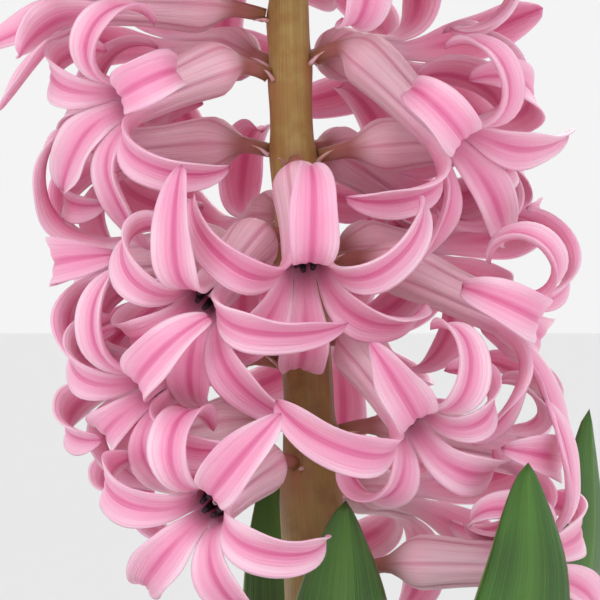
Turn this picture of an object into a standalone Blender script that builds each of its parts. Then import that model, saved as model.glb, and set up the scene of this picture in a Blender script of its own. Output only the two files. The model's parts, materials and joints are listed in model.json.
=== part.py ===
"""A potted hyacinth: clay pot, soil, bulb, strap leaves, and a stem with its spike of florets.

Lengths are in millimetres and angles in degrees until new_object() scales a mesh to metres.
+Z is up and the origin is the middle of the pot's base. Azimuth 0 is the front, -Y, and 90 is +X.
"""

import itertools
import math

import bmesh
import bpy
import numpy as np
from mathutils.bvhtree import BVHTree

# Driving dimensions.
GAP = 0.35

POT_HEIGHT = 100.0
POT_TOP_RADIUS = 60.0
POT_BASE_RADIUS = 42.0
POT_WALL = 5.0
POT_FLOOR = 7.0
RIM_HEIGHT = 20.0
RIM_PROUD = 3.0
DRAIN_HOLES = 3
DRAIN_RADIUS = 4.0
DRAIN_RING_RADIUS = 24.0
POT_SIDES = 40

SOIL_TOP = 84.0
SOIL_SIDES = 32

BULB_SIDES = 24
BULB_PROFILE = [(9.0, 50.0), (17.0, 53.0), (23.0, 61.0), (24.5, 70.0), (22.0, 80.0), (17.5, 90.0), (13.6, 98.0)]
NOSE_TOP = 100.0
NOSE_WELL_RADIUS = 11.0
NOSE_WELL_FLOOR = 88.0

# The stem's middle line: height, x, y and radius.
STEM_KNOTS = [
    (88.35, 0.0, 0.0, 6.0),
    (120.0, 0.4, 0.0, 6.4),
    (160.0, 0.9, 0.0, 6.2),
    (196.0, 0.2, 0.0, 5.7),
    (211.0, -1.2, 0.0, 5.1),
    (220.0, -1.4, 0.0, 4.3),
    (232.0, -1.7, 0.0, 3.9),
    (267.0, -4.2, 0.0, 3.5),
    (291.0, -4.8, 0.0, 3.15),
    (320.0, -5.2, 0.0, 2.6),
    (345.0, -5.4, 0.0, 1.8),
    (353.0, -5.5, 0.0, 1.3),
]
STEM_SIDES = 12
STEM_ROWS = 26

LEAF_THICKNESS = 1.5
LEAF_ROWS = 13
LEAF_COLUMNS = 4

# The usual floret, at size 1.
LOBES = 6
PEDICEL = 5.0
PEDICEL_RADIUS = 1.0
PEDICEL_RISE = 15.0
TUBE_REACH = 26.0
BELLY_RADIUS = 4.2
NECK_RADIUS = 3.5
TUBE_WALL = 0.55
CUP_DEPTH = 0.45
LOBE_LENGTH = 27.0
LOBE_HALF_WIDTH = 4.2
LOBE_START = 12.0
LOBE_FLARE = 58.0
LOBE_CURL = 135.0
LOBE_VARIATION = dict(flare=6.0, curl=18.0, length=0.05, bend=5.0)

TUBE_ROWS = 5
CUP_ROWS = 1
LOBE_ROWS = 5
LOBE_COLUMNS = 2
CLEARANCE = 0.45

# How far a lobe gives way to its neighbours: extra curl, flare and bend, and a stretch of its length.
NO_NUDGE = (0, 0, 0, 1.0)


def lobe(**changes):
    """What one lobe of a floret has that the floret's others don't."""
    return changes


# Each floret: height on the stem, azimuth, pitch of its tube, and what it changes in the usual floret.
# Its lobes count from the top one, clockwise as a bee sees them.
FLORETS = [
    (288.5, -84, 2, dict(reach=27, flare=32, curl=35, lobes={
        0: lobe(length=0.9), 2: lobe(length=0.8), 3: lobe(length=0.8, flare=38, curl=10),
        4: lobe(length=0.8, curl=10)})),
    (279.0, -60, -19, dict(roll=10, rise=25, lobes={
        0: lobe(curl=190), 1: lobe(curl=230, length=0.85), 2: lobe(flare=65, curl=110),
        3: lobe(flare=80, curl=30), 4: lobe(flare=50, curl=40, length=0.8, bend=-20),
        5: lobe(flare=32, curl=200)})),
    (267.0, -118, -3, dict()),
    (281.5, 68, -40, dict(reach=28, roll=-10, rise=35, lobes={
        0: lobe(curl=180), 1: lobe(flare=50, curl=45, bend=25), 2: lobe(flare=45, curl=35, length=1.05, bend=10),
        3: lobe(flare=40, curl=70), 4: lobe(flare=70, curl=60), 5: lobe(curl=200, length=0.9)})),
    (281.5, 146, 0, dict(roll=-10, lobes={
        0: lobe(curl=170), 1: lobe(flare=62, curl=60), 3: lobe(flare=36, curl=40), 4: lobe(flare=60, curl=40),
        5: lobe(flare=65, curl=20)})),
    (267.0, 148, -18, dict(roll=30)),
    (253.0, -32, -32, dict(roll=15, lobes={
        0: lobe(flare=75, curl=50, bend=-8), 1: lobe(flare=70, curl=70, bend=35, length=1.05),
        2: lobe(flare=65, curl=70, bend=25), 3: lobe(flare=55, curl=110, bend=15),
        4: lobe(flare=60, curl=170, length=1.05), 5: lobe(flare=62, curl=180, length=1.05)})),
    (265.0, 5, -48, dict(rise=-5, lobes={
        0: lobe(curl=160), 1: lobe(flare=71, curl=110, bend=8, length=1.05),
        5: lobe(flare=71, curl=110, bend=-8, length=1.05), 2: lobe(flare=60, curl=90),
        3: lobe(flare=60, curl=80), 4: lobe(flare=60, curl=90)})),
    (237.0, -56, -25, dict(lobes={3: lobe(flare=75, curl=90)})),
    (217.0, -31, -20, dict(roll=-15, lobes={
        0: lobe(curl=190), 1: lobe(flare=65, curl=45), 2: lobe(flare=65, curl=130, bend=15),
        3: lobe(flare=60, curl=110, length=0.9), 4: lobe(flare=55, curl=90, length=0.85),
        5: lobe(flare=62, curl=150, length=1.1)})),
    (236.5, 38, -38, dict(roll=15, lobes={
        0: lobe(curl=180, bend=-5), 1: lobe(curl=190, bend=-15), 2: lobe(flare=65, curl=80, bend=-30, length=1.1),
        3: lobe(curl=160, bend=-12), 4: lobe(flare=65, curl=110, length=1.15, bend=15),
        5: lobe(flare=65, curl=50)})),
    (249.0, 85, -22, dict(reach=30, roll=-20, lobes={
        0: lobe(curl=230), 1: lobe(curl=140, length=1.05), 2: lobe(curl=100), 3: lobe(curl=40),
        4: lobe(curl=60, length=0.9), 5: lobe(curl=170)})),
    (222.0, 98, -10, dict(reach=28, roll=30)),
    (199.8, 76, 0, dict(reach=27, lobes={
        0: lobe(flare=65, curl=40), 1: lobe(curl=100), 2: lobe(flare=50, curl=60), 5: lobe(curl=180)})),
    (250.0, -100, -5, dict(reach=27, roll=30, lobes={4: lobe(flare=40, curl=190, length=1.1)})),
    (281.0, -142, 5, dict(roll=30)),
    (266.0, 104, 4, dict(reach=27)),
    (250.5, 135, -4, dict()),
    (233.0, -108, -8, dict()),
    (256.0, -165, -10, dict()),
    (240.0, 170, -10, dict()),
    (223.0, -130, -10, dict()),
    (212.0, 150, -8, dict()),
    (299.0, 20, 8, dict(reach=25)),
    (299.0, 95, 10, dict(reach=25)),
    (297.0, -165, 8, dict(reach=25)),
    (305.0, -45, 12, dict(reach=24, size=0.95)),
    (310.0, -110, 15, dict(reach=24, size=0.92)),
    (311.0, 55, 16, dict(reach=24, size=0.92)),
    (311.0, 150, 15, dict(reach=24, size=0.92)),
    (321.0, 5, 24, dict(reach=23, size=0.85)),
    (323.0, -75, 28, dict(reach=23, size=0.82)),
    (323.0, 100, 28, dict(reach=23, size=0.82)),
    (323.0, -160, 28, dict(reach=23, size=0.82)),
    (335.0, 45, 45, dict(reach=20, size=0.72, curl=90)),
    (335.0, -40, 45, dict(reach=20, size=0.72, curl=90)),
    (335.0, 165, 45, dict(reach=20, size=0.72, curl=90)),
]

# Each bud: height on the stem, azimuth, pitch, length and radius.
BUDS = [
    (344.0, 100, 50, 13.0, 3.0),
    (345.0, -110, 50, 13.0, 3.0),
    (349.0, -20, 62, 11.0, 2.5),
]
TERMINAL_BUD = (11.0, 2.6)
BUD_SIDES = 10
BUD_ROWS = 6

# Each leaf: azimuth of its base, whether its base lies in the outer ring, and the knots of its middle
# line from base to tip: x, y, z, azimuth of its outer face, half width and half angle of its channel.
LEAVES = {
    "leaf_front": (5, False, [
        (1.0, -9.0, 130, 5, 8.6, 50), (2.6, -12.6, 168, 8, 10.2, 32), (3.8, -14.5, 196, 8, 9.6, 26),
        (4.2, -15.0, 211.5, 8, 8.4, 26)]),
    "leaf_back": (185, False, [
        (-0.5, 9.6, 130, 185, 8.6, 50), (-1.5, 16.5, 165, 185, 10.0, 32), (-4.5, 22.5, 194, 186, 9.4, 26),
        (-8.0, 26.0, 216, 188, 8.0, 24)]),
    "leaf_right": (50, True, [
        (16.0, -11.5, 128, 48, 8.4, 38), (26.5, -17.5, 166, 30, 10.0, 28), (32.6, -21.5, 198, 15, 9.2, 24),
        (32.6, -22.5, 217.7, 10, 8.0, 24)]),
    "leaf_back_right": (130, True, [
        (15.0, 13.0, 126, 122, 8.4, 38), (31.0, 24.0, 162, 90, 10.0, 28), (44.0, 31.0, 197, 60, 9.2, 24),
        (45.0, 33.0, 225, 55, 8.0, 24)]),
    "leaf_back_left": (-130, True, [
        (-16.0, 12.5, 122, -125, 8.4, 38), (-30.0, 20.0, 150, -120, 9.6, 28), (-43.0, 25.0, 172, -118, 8.8, 24),
        (-53.0, 29.0, 183, -116, 7.6, 24)]),
    "leaf_left": (-50, True, [
        (-16.0, -12.0, 120, -52, 8.4, 38), (-29.0, -19.5, 142, -56, 10.0, 28), (-42.0, -26.5, 158, -58, 9.0, 24),
        (-52.5, -32.0, 164, -60, 7.8, 24)]),
}
# Each ring of leaf bases round the stem: its radius, and half the angle that a base takes up.
INNER_RING = (7.7, 62.0)
OUTER_RING = (9.65, 35.0)

# Colours of the materials, linear, with roughness.
CLAY = ((0.47, 0.17, 0.085), 0.85)
SOIL = ((0.035, 0.022, 0.014), 0.95)
BULB_SKIN = ((0.22, 0.05, 0.10), 0.6)
STEM_GREEN = ((0.32, 0.20, 0.06), 0.45)
LEAF_GREEN = ((0.045, 0.13, 0.02), 0.4)
PETAL_PINK = ((0.83, 0.33, 0.50), 0.45)
BUD_PINK = ((0.62, 0.30, 0.32), 0.5)

UP = np.array([0.0, 0.0, 1.0])


def unit(vector):
    return vector / np.linalg.norm(vector)


def aim(azimuth, pitch):
    """The unit vector that points to an azimuth, raised by a pitch."""
    turn = math.radians(azimuth)
    lift = math.radians(pitch)
    return np.array([math.sin(turn) * math.cos(lift), -math.cos(turn) * math.cos(lift), math.sin(lift)])


def ease(value):
    """0 to 1 with flat ends."""
    value = np.clip(value, 0.0, 1.0)
    return value * value * (3.0 - 2.0 * value)


def hermite(knots, places, place):
    """A smooth curve through knots that lie at increasing places, read at one place."""
    knots = np.asarray(knots, float)
    last = len(places) - 1
    i = int(np.clip(np.searchsorted(places, place) - 1, 0, last - 1))
    span = places[i + 1] - places[i]
    u = (place - places[i]) / span

    def slope(k):
        before, after = max(k - 1, 0), min(k + 1, last)
        return (knots[after] - knots[before]) / (places[after] - places[before]) * span

    start = (2 * u**3 - 3 * u**2 + 1) * knots[i] + (u**3 - 2 * u**2 + u) * slope(i)
    end = (3 * u**2 - 2 * u**3) * knots[i + 1] + (u**3 - u**2) * slope(i + 1)
    return start + end


def stem_at(height):
    """The stem's middle and radius at a height."""
    heights = [knot[0] for knot in STEM_KNOTS]
    x, y, radius = hermite([knot[1:] for knot in STEM_KNOTS], heights, height)
    return np.array([x, y, height]), radius


class Shell:
    """The points and faces of one closed surface, built row by row."""

    def __init__(self):
        self.points = []
        self.faces = []

    def row(self, points):
        first = len(self.points)
        self.points.extend(points)
        return list(range(first, len(self.points)))

    def strip(self, low, high, closed=True):
        """Quads between two rows; they face outwards where the rows run anticlockwise going up."""
        count = len(low)
        for j in range(count if closed else count - 1):
            k = (j + 1) % count
            self.faces.append((low[j], low[k], high[k], high[j]))

    def fan(self, row, tip, closed=True):
        """Triangles from a row up to a tip."""
        count = len(row)
        for j in range(count if closed else count - 1):
            self.faces.append((row[j], row[(j + 1) % count], tip))

    def floor(self, row):
        """The face that closes the bottom of a strip."""
        self.faces.append(tuple(reversed(row)))

    def roof(self, row):
        """The face that closes the top of a strip."""
        self.faces.append(tuple(row))


class Floret:
    """One flower of the spike: a thin pedicel, a swollen tube and six lobes round its throat."""

    def __init__(self, seed, height, azimuth, pitch, reach=TUBE_REACH, roll=0.0, rise=PEDICEL_RISE, size=1.0,
                 flare=LOBE_FLARE, curl=LOBE_CURL, lobes=()):
        middle, radius = stem_at(height)
        out = aim(azimuth, rise)
        self.size = size
        self.roll = roll
        self.neck = NECK_RADIUS * size
        self.axis = aim(azimuth, pitch)
        self.up = unit(UP - self.axis * (UP @ self.axis))
        self.right = np.cross(self.up, self.axis)
        end_radius = (PEDICEL_RADIUS + TUBE_WALL / 2) * size
        foot_gap = radius + GAP + end_radius * abs(math.sin(math.radians(rise)))
        foot = middle + aim(azimuth, 0) * foot_gap
        self.throat = foot + out * PEDICEL * size + self.axis * (reach - PEDICEL) * size
        self.handles = [
            foot,
            foot + out * 0.30 * reach * size,
            self.throat - self.axis * 0.55 * reach * size,
            self.throat,
        ]
        chance = np.random.RandomState(seed)
        self.lobes = []
        for k in range(LOBES):
            changes = dict(lobes).get(k, {})
            shape = dict(flare=flare, curl=curl, length=1.0, bend=0.0)
            for key, most in LOBE_VARIATION.items():
                shift = chance.uniform(-most, most)
                if key not in changes:
                    shape[key] += shift
            shape.update(changes)
            self.lobes.append(shape)

    def tube_frames(self, places):
        """The middle line from foot (0) to throat (1), with the up and right directions along it."""
        a, b, c, d = self.handles
        t = np.asarray(places, float)[:, None]
        line = (1 - t)**3 * a + 3 * (1 - t)**2 * t * b + 3 * (1 - t) * t**2 * c + t**3 * d
        way = 3 * (1 - t)**2 * (b - a) + 6 * (1 - t) * t * (c - b) + 3 * t**2 * (d - c)
        way /= np.linalg.norm(way, axis=1)[:, None]
        ups = np.empty_like(line)
        up = self.up
        for i in reversed(range(len(line))):
            up = unit(up - way[i] * (up @ way[i]))
            ups[i] = up
        return line, ups, np.cross(ups, way)

    def tube_radius(self, places):
        """Pedicel, belly and neck, as a radius from foot (0) to throat (1)."""
        places = np.asarray(places, float)
        swell = ease((places - 0.20) / 0.30)
        waist = ease((places - 0.52) / 0.34)
        radius = PEDICEL_RADIUS + (BELLY_RADIUS - PEDICEL_RADIUS) * swell + (NECK_RADIUS - BELLY_RADIUS) * waist
        return radius * self.size

    def lobe_line(self, k, nudge, steps=40):
        """One lobe's middle line: positions, crosswise directions and inner normals."""
        shape = self.lobes[k]
        extra_curl, extra_flare, extra_bend, stretch = nudge
        length = LOBE_LENGTH * self.size * shape["length"] * stretch
        root = math.radians(self.roll + 360.0 / LOBES * k)

        def frame(s):
            lean = LOBE_START + (shape["flare"] + extra_flare) * ease(s / 0.5) + (shape["curl"] + extra_curl) * s**1.5
            lean = np.radians(lean)[:, None]
            around = (root + math.radians(shape["bend"] + extra_bend) * ease(s / 0.3))[:, None]
            outward = np.cos(around) * self.up + np.sin(around) * self.right
            across = np.cos(around) * self.right - np.sin(around) * self.up
            along = np.cos(lean) * self.axis + np.sin(lean) * outward
            normal = np.sin(lean) * self.axis - np.cos(lean) * outward
            return along, across, normal

        s = np.linspace(0.0, 1.0, steps + 1)
        along, _, _ = frame((s[1:] + s[:-1]) / 2)
        start = self.throat + (math.cos(root) * self.up + math.sin(root) * self.right) * self.neck
        line = np.vstack([np.zeros(3), np.cumsum(along * length / steps, axis=0)]) + start
        _, across, normal = frame(s)
        return s, line, across, normal

    def lobe_grid(self, k, rows, columns, nudge, spare=0.0):
        """The lobe's outer and inner faces, as two grids of points from throat to tip."""
        s, line, across, normal = self.lobe_line(k, nudge)
        t = np.linspace(0.0, 1.0, rows + 1)

        def read(values):
            return np.stack([np.interp(t, s, values[:, axis]) for axis in range(3)], axis=1)[:, None, :]

        line, across, normal = read(line), read(across), read(normal)
        root_width = self.neck * math.radians(180.0 / LOBES)
        width = root_width + (LOBE_HALF_WIDTH * self.size - root_width) * ease(t / 0.45)
        width *= np.clip(1 - (np.clip(t - 0.42, 0, 1) / 0.58)**2.2, 0, 1)**0.62
        channel = np.radians(30 + 8 * ease(t / 0.4) - 10 * ease((t - 0.5) / 0.5))
        v = np.linspace(-1.0, 1.0, columns + 1)
        angle = (channel[:, None] * v)[..., None]
        radius = (width / channel)[:, None, None]
        middle = line + radius * (np.sin(angle) * across + (1 - np.cos(angle)) * normal)
        face = np.cos(angle) * normal - np.sin(angle) * across
        thick = (0.55 - 0.15 * t)[:, None] * np.sqrt(1 - v**2) * np.sqrt(1 - t**6)[:, None] * math.sqrt(self.size)
        thick = (thick + spare)[..., None]
        return middle - face * thick, middle + face * thick

    def ring(self, middle, up, right, radius, columns):
        """Points round the tube, clockwise as seen from the throat, starting at the first lobe's edge."""
        points = []
        for j in range(LOBES * columns):
            angle = math.radians(self.roll + 360.0 / LOBES * (j / columns - 0.5))
            points.append(middle + radius * (math.cos(angle) * up + math.sin(angle) * right))
        return points


def tube_shell(floret):
    """The floret's tube with its open cup, and the two rows of points at its throat."""
    shell = Shell()
    places = np.linspace(0.0, 1.0, TUBE_ROWS + 1)**0.9
    frames = zip(*floret.tube_frames(places), floret.tube_radius(places) + TUBE_WALL / 2)
    outer = [shell.row(floret.ring(*frame, LOBE_COLUMNS)) for frame in frames]
    places = np.linspace(1 - CUP_DEPTH, 1.0, CUP_ROWS + 1)
    frames = zip(*floret.tube_frames(places), floret.tube_radius(places) - TUBE_WALL / 2)
    inner = [shell.row(floret.ring(*frame, LOBE_COLUMNS)) for frame in frames]
    shell.roof(outer[0])
    for low, high in zip(outer, outer[1:]):
        shell.strip(high, low)
    for low, high in zip(inner, inner[1:]):
        shell.strip(low, high)
    shell.floor(inner[0])
    return shell, outer[-1], inner[-1]


def floret_shell(floret, nudges):
    """The whole floret as one closed surface: the lobes grow out of the tube's rim."""
    shell, outer_rim, inner_rim = tube_shell(floret)
    rim = len(outer_rim)
    for k in range(LOBES):
        back, front = floret.lobe_grid(k, LOBE_ROWS, LOBE_COLUMNS, nudges[k])
        at_rim = [(k * LOBE_COLUMNS + j) % rim for j in range(LOBE_COLUMNS + 1)]
        outer = [outer_rim[j] for j in at_rim]
        inner = [inner_rim[j] for j in at_rim]
        for i in range(1, LOBE_ROWS):
            next_outer = shell.row(back[i])
            middle = shell.row(front[i, 1:-1])
            next_inner = [next_outer[0], *middle, next_outer[-1]]
            if i == 1:
                shell.faces.append((outer[0], inner[0], next_outer[0]))
                shell.faces.append((outer[-1], next_outer[-1], inner[-1]))
            shell.strip(next_outer, outer, closed=False)
            shell.strip(inner, next_inner, closed=False)
            outer, inner = next_outer, next_inner
        tip = shell.row([back[-1, LOBE_COLUMNS // 2]])[0]
        shell.fan(inner, tip, closed=False)
        shell.fan(list(reversed(outer)), tip, closed=False)
    return shell


def lobe_tree(floret, k, nudge, spare, first_row):
    """A search tree of one lobe's faces, thickened all over by the spare, with its lowest and highest corner."""
    back, front = floret.lobe_grid(k, LOBE_ROWS, LOBE_COLUMNS, nudge, spare)
    shell = Shell()
    outer = [shell.row(row) for row in back[first_row:]]
    inner = [shell.row(row) for row in front[first_row:]]
    for i in range(len(outer) - 1):
        shell.strip(outer[i], outer[i + 1], closed=False)
        shell.strip(inner[i], inner[i + 1], closed=False)
        shell.faces.append((outer[i][0], outer[i + 1][0], inner[i + 1][0], inner[i][0]))
        shell.faces.append((outer[i][-1], outer[i + 1][-1], inner[i + 1][-1], inner[i][-1]))
    return tree_of(shell)


def collar_tree(floret):
    """A search tree of a floret's tube with the first stretch of its lobes."""
    shell = tube_shell(floret)[0]
    for k in range(LOBES):
        for face in floret.lobe_grid(k, LOBE_ROWS, LOBE_COLUMNS, NO_NUDGE):
            rows = [shell.row(row) for row in face[:2]]
            shell.strip(*rows, closed=False)
    return tree_of(shell)


def tree_of(shell):
    points = np.array(shell.points)
    tree = BVHTree.FromPolygons(points.tolist(), shell.faces)
    return tree, points.min(axis=0), points.max(axis=0)


def touches(one, others):
    """Whether a tree crosses any of the others."""
    tree, low, high = one
    for other, other_low, other_high in others:
        apart = np.any(low > other_high) or np.any(high < other_low)
        if not apart and tree.overlap(other):
            return True
    return False


def nudges_by_size():
    """Every nudge, smallest first."""
    curls = (0, 12, -12, 25, -25, 40, -40, 60, 80)
    flares = (0, 8, -8, 16, -16, -26)
    bends = (0, 8, -8, 16, -16)
    lengths = (1.0, 0.93, 0.85, 0.75, 0.6, 0.45)

    def size(nudge):
        return abs(nudge[0]) / 12 + abs(nudge[1]) / 8 + abs(nudge[2]) / 8 + (1 - nudge[3]) * 20

    return sorted(itertools.product(curls, flares, bends, lengths), key=size)


def open_florets(florets, obstacles):
    """For each floret, the smallest nudge of each lobe that keeps it clear of all that is placed already."""
    choices = nudges_by_size()
    placed = list(obstacles)
    nudges = []
    collars = [collar_tree(floret) for floret in florets]
    for i, floret in enumerate(florets):
        others = placed + collars[:i] + collars[i + 1:]
        own = [tree_of(tube_shell(floret)[0])]
        chosen = []
        for k in range(LOBES):
            for nudge in choices:
                if touches(lobe_tree(floret, k, nudge, CLEARANCE, 2), own):
                    continue
                if not touches(lobe_tree(floret, k, nudge, CLEARANCE, 0), others):
                    break
            chosen.append(nudge)
            own.append(lobe_tree(floret, k, nudge, 0.0, 2))
        nudges.append(chosen)
        placed += [lobe_tree(floret, k, chosen[k], 0.0, 0) for k in range(LOBES)]
    return nudges


def stem_shell():
    shell = Shell()
    heights = np.linspace(STEM_KNOTS[0][0], STEM_KNOTS[-1][0], STEM_ROWS + 1)
    rows = []
    for height in heights:
        middle, radius = stem_at(height)
        angles = np.arange(STEM_SIDES) * 2 * math.pi / STEM_SIDES
        rows.append(shell.row([middle + radius * np.array([math.cos(a), math.sin(a), 0.0]) for a in angles]))
    shell.floor(rows[0])
    for low, high in zip(rows, rows[1:]):
        shell.strip(low, high)
    shell.roof(rows[-1])
    return shell


def leaf_shell(base_azimuth, in_outer_ring, knots):
    """A strap leaf: a channelled blade that starts as part of a ring round the stem and ends in a blunt tip."""
    base_radius, base_half_angle = OUTER_RING if in_outer_ring else INNER_RING
    base_half_width = base_radius * math.radians(base_half_angle)
    base = []
    for height in (NOSE_WELL_FLOOR + GAP, NOSE_TOP + 1.0):
        x, y, _ = aim(base_azimuth, 0) * base_radius
        base.append((x, y, height, base_azimuth, base_half_width, base_half_angle))
    line = np.array(base + knots, float)
    places = np.concatenate([[0.0], np.cumsum(np.linalg.norm(np.diff(line[:, :3], axis=0), axis=1))])
    shell = Shell()
    v = np.linspace(-1.0, 1.0, LEAF_COLUMNS + 1)
    rows = []
    for t in np.linspace(0.0, 1.0, LEAF_ROWS + 1)[:-1]**0.93:
        x, y, z, azimuth, half_width, channel = hermite(line, places, t * places[-1])
        ahead = hermite(line, places, min(t + 0.01, 1.0) * places[-1])[:3]
        behind = hermite(line, places, max(t - 0.01, 0.0) * places[-1])[:3]
        along = unit(ahead - behind) if t > 0 else UP
        inward = -aim(azimuth, 0)
        inward = unit(inward - along * (inward @ along))
        across = np.cross(inward, along)
        half_width *= (1 - max((t - 0.70) / 0.30, 0.0)**2.2)**0.7
        channel = math.radians(channel)
        thickness = LEAF_THICKNESS * (1 - 0.45 * t)
        radius = half_width / channel
        inner, outer = [], []
        for value in v:
            angle = channel * value
            side = math.sin(angle) * across - math.cos(angle) * inward
            middle = np.array([x, y, z]) + radius * (inward + side)
            half = thickness / 2 * math.sqrt(max(1 - value**4, 0.0))
            outer.append(middle + side * half)
            inner.append(middle - side * half)
        rows.append(shell.row(outer + inner[-2:0:-1]))
    tip = shell.row([line[-1, :3]])[0]
    shell.floor(rows[0])
    for low, high in zip(rows, rows[1:]):
        shell.strip(low, high)
    shell.fan(rows[-1], tip)
    return shell


def bud_shell(foot, axis, length, radius):
    """A closed bud: a short thick foot and a blunt egg."""
    side = unit(np.cross(axis, UP + 0.01))
    other = np.cross(axis, side)
    shell = Shell()
    rows = []
    for t in np.linspace(0.0, 1.0, BUD_ROWS + 1)[:-1]:
        swell = 0.30 + 0.70 * math.sin(math.pi * min(t, 1.0)**0.8)**0.7
        angles = np.arange(BUD_SIDES) * 2 * math.pi / BUD_SIDES
        ring = [side * math.cos(a) + other * math.sin(a) for a in angles]
        rows.append(shell.row([foot + axis * length * t + way * radius * swell for way in ring]))
    tip = shell.row([foot + axis * length])[0]
    shell.floor(rows[0])
    for low, high in zip(rows, rows[1:]):
        shell.strip(low, high)
    shell.fan(rows[-1], tip)
    return shell


def bud_shells():
    shells = []
    for height, azimuth, pitch, length, radius in BUDS:
        middle, stem_radius = stem_at(height)
        foot_gap = stem_radius + GAP + 0.3 * radius * math.sin(math.radians(pitch))
        shells.append(bud_shell(middle + aim(azimuth, 0) * foot_gap, aim(azimuth, pitch), length, radius))
    top, _ = stem_at(STEM_KNOTS[-1][0])
    shells.append(bud_shell(top + UP * GAP, UP, *TERMINAL_BUD))
    return shells


def new_material(name, colour, roughness):
    material = bpy.data.materials.new(name)
    material.use_nodes = True
    shader = material.node_tree.nodes["Principled BSDF"]
    shader.inputs["Base Color"].default_value = (*colour, 1.0)
    shader.inputs["Roughness"].default_value = roughness
    shader.inputs["Metallic"].default_value = 0.0
    return material


def new_object(name, mesh, finish):
    """Links a mesh in millimetres to the scene, in metres, smooth with sharp edges kept."""
    for vertex in mesh.vertices:
        vertex.co *= 0.001
    mesh.shade_smooth()
    mesh.set_sharp_from_angle(angle=math.radians(50))
    mesh.materials.append(new_material(name, *finish))
    obj = bpy.data.objects.new(name, mesh)
    bpy.context.scene.collection.objects.link(obj)
    return obj


def object_from_shell(name, shell, finish):
    mesh = bpy.data.meshes.new(name)
    mesh.from_pydata([tuple(point) for point in shell.points], [], shell.faces)
    return new_object(name, mesh, finish)


def object_from_profile(name, profile, sides, finish):
    """Turns a closed half section, given as (radius, height), round the Z axis."""
    solid = bmesh.new()
    points = [solid.verts.new((radius, 0.0, height)) for radius, height in profile]
    edges = [solid.edges.new(pair) for pair in zip(points, points[1:])]
    bmesh.ops.spin(
        solid, geom=points + edges, cent=(0, 0, 0), axis=(0, 0, 1), angle=2 * math.pi, steps=sides, use_merge=True)
    bmesh.ops.remove_doubles(solid, verts=solid.verts[:], dist=0.001)
    bmesh.ops.recalc_face_normals(solid, faces=solid.faces[:])
    mesh = bpy.data.meshes.new(name)
    solid.to_mesh(mesh)
    solid.free()
    return new_object(name, mesh, finish)


def inner_wall_radius(height):
    """The pot's inside radius at a height."""
    base = POT_BASE_RADIUS - POT_WALL
    return base + (POT_TOP_RADIUS - POT_WALL - base) * height / POT_HEIGHT


def make_pot():
    """A tapered clay pot with a thick rim and drain holes round the middle of its floor."""
    rim_bottom = POT_HEIGHT - RIM_HEIGHT
    neck_radius = POT_TOP_RADIUS - RIM_PROUD - 2.5
    profile = [
        (0.0, 0.0),
        (POT_BASE_RADIUS - 1.5, 0.0),
        (POT_BASE_RADIUS, 1.5),
        (neck_radius, rim_bottom - 1.0),
        (POT_TOP_RADIUS - 1.8, rim_bottom + 1.0),
        (POT_TOP_RADIUS, POT_HEIGHT - 2.0),
        (POT_TOP_RADIUS - 1.5, POT_HEIGHT),
        (inner_wall_radius(POT_HEIGHT) + 1.0, POT_HEIGHT),
        (inner_wall_radius(POT_HEIGHT - 1.5), POT_HEIGHT - 1.5),
        (inner_wall_radius(POT_FLOOR + 3.0), POT_FLOOR + 3.0),
        (inner_wall_radius(POT_FLOOR) - 3.0, POT_FLOOR),
        (0.0, POT_FLOOR),
    ]
    pot = object_from_profile("pot", profile, POT_SIDES, CLAY)
    drains = bmesh.new()
    for k in range(DRAIN_HOLES):
        made = bmesh.ops.create_cone(
            drains, cap_ends=True, segments=16, radius1=DRAIN_RADIUS, radius2=DRAIN_RADIUS, depth=4 * POT_FLOOR)
        place = aim(360.0 / DRAIN_HOLES * k, 0) * DRAIN_RING_RADIUS
        bmesh.ops.translate(drains, verts=made["verts"], vec=place)
    mesh = bpy.data.meshes.new("drain_cutter")
    drains.to_mesh(mesh)
    drains.free()
    cutter = new_object("drain_cutter", mesh, CLAY)
    cutter.hide_render = True
    cutter.display_type = "WIRE"
    cut = pot.modifiers.new("drain_holes", "BOOLEAN")
    cut.operation = "DIFFERENCE"
    cut.solver = "EXACT"
    cut.object = cutter


def bulb_radius(height):
    """The bulb's outer radius at a height."""
    radii, heights = zip(*BULB_PROFILE)
    return float(np.interp(height, heights, radii))


def make_bulb():
    profile = [
        (0.0, BULB_PROFILE[0][1] - 1.0),
        *BULB_PROFILE,
        (NOSE_WELL_RADIUS + 1.2, NOSE_TOP),
        (NOSE_WELL_RADIUS, NOSE_TOP - 0.5),
        (NOSE_WELL_RADIUS, NOSE_WELL_FLOOR),
        (0.0, NOSE_WELL_FLOOR),
    ]
    object_from_profile("bulb", profile, BULB_SIDES, BULB_SKIN)


def make_soil():
    """The soil fills the pot to a little under its rim, round the lower part of the bulb."""
    floor = POT_FLOOR + GAP
    seat = [(0.0, BULB_PROFILE[0][1] - 1.0 - GAP)]
    seat += [(radius + 2 * GAP, height - 0.5 * GAP) for radius, height in BULB_PROFILE if height < SOIL_TOP]
    profile = [
        (0.0, floor),
        (inner_wall_radius(floor) - 3.6, floor),
        (inner_wall_radius(floor + 3.0) - GAP - 0.4, floor + 3.0),
        (inner_wall_radius(SOIL_TOP) - GAP - 0.4, SOIL_TOP - 1.0),
        (inner_wall_radius(SOIL_TOP) - 5.0, SOIL_TOP - 0.3),
        (36.0, SOIL_TOP),
        (bulb_radius(SOIL_TOP) + 2 * GAP, SOIL_TOP),
        *reversed(seat),
    ]
    object_from_profile("soil", profile, SOIL_SIDES, SOIL)


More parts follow.
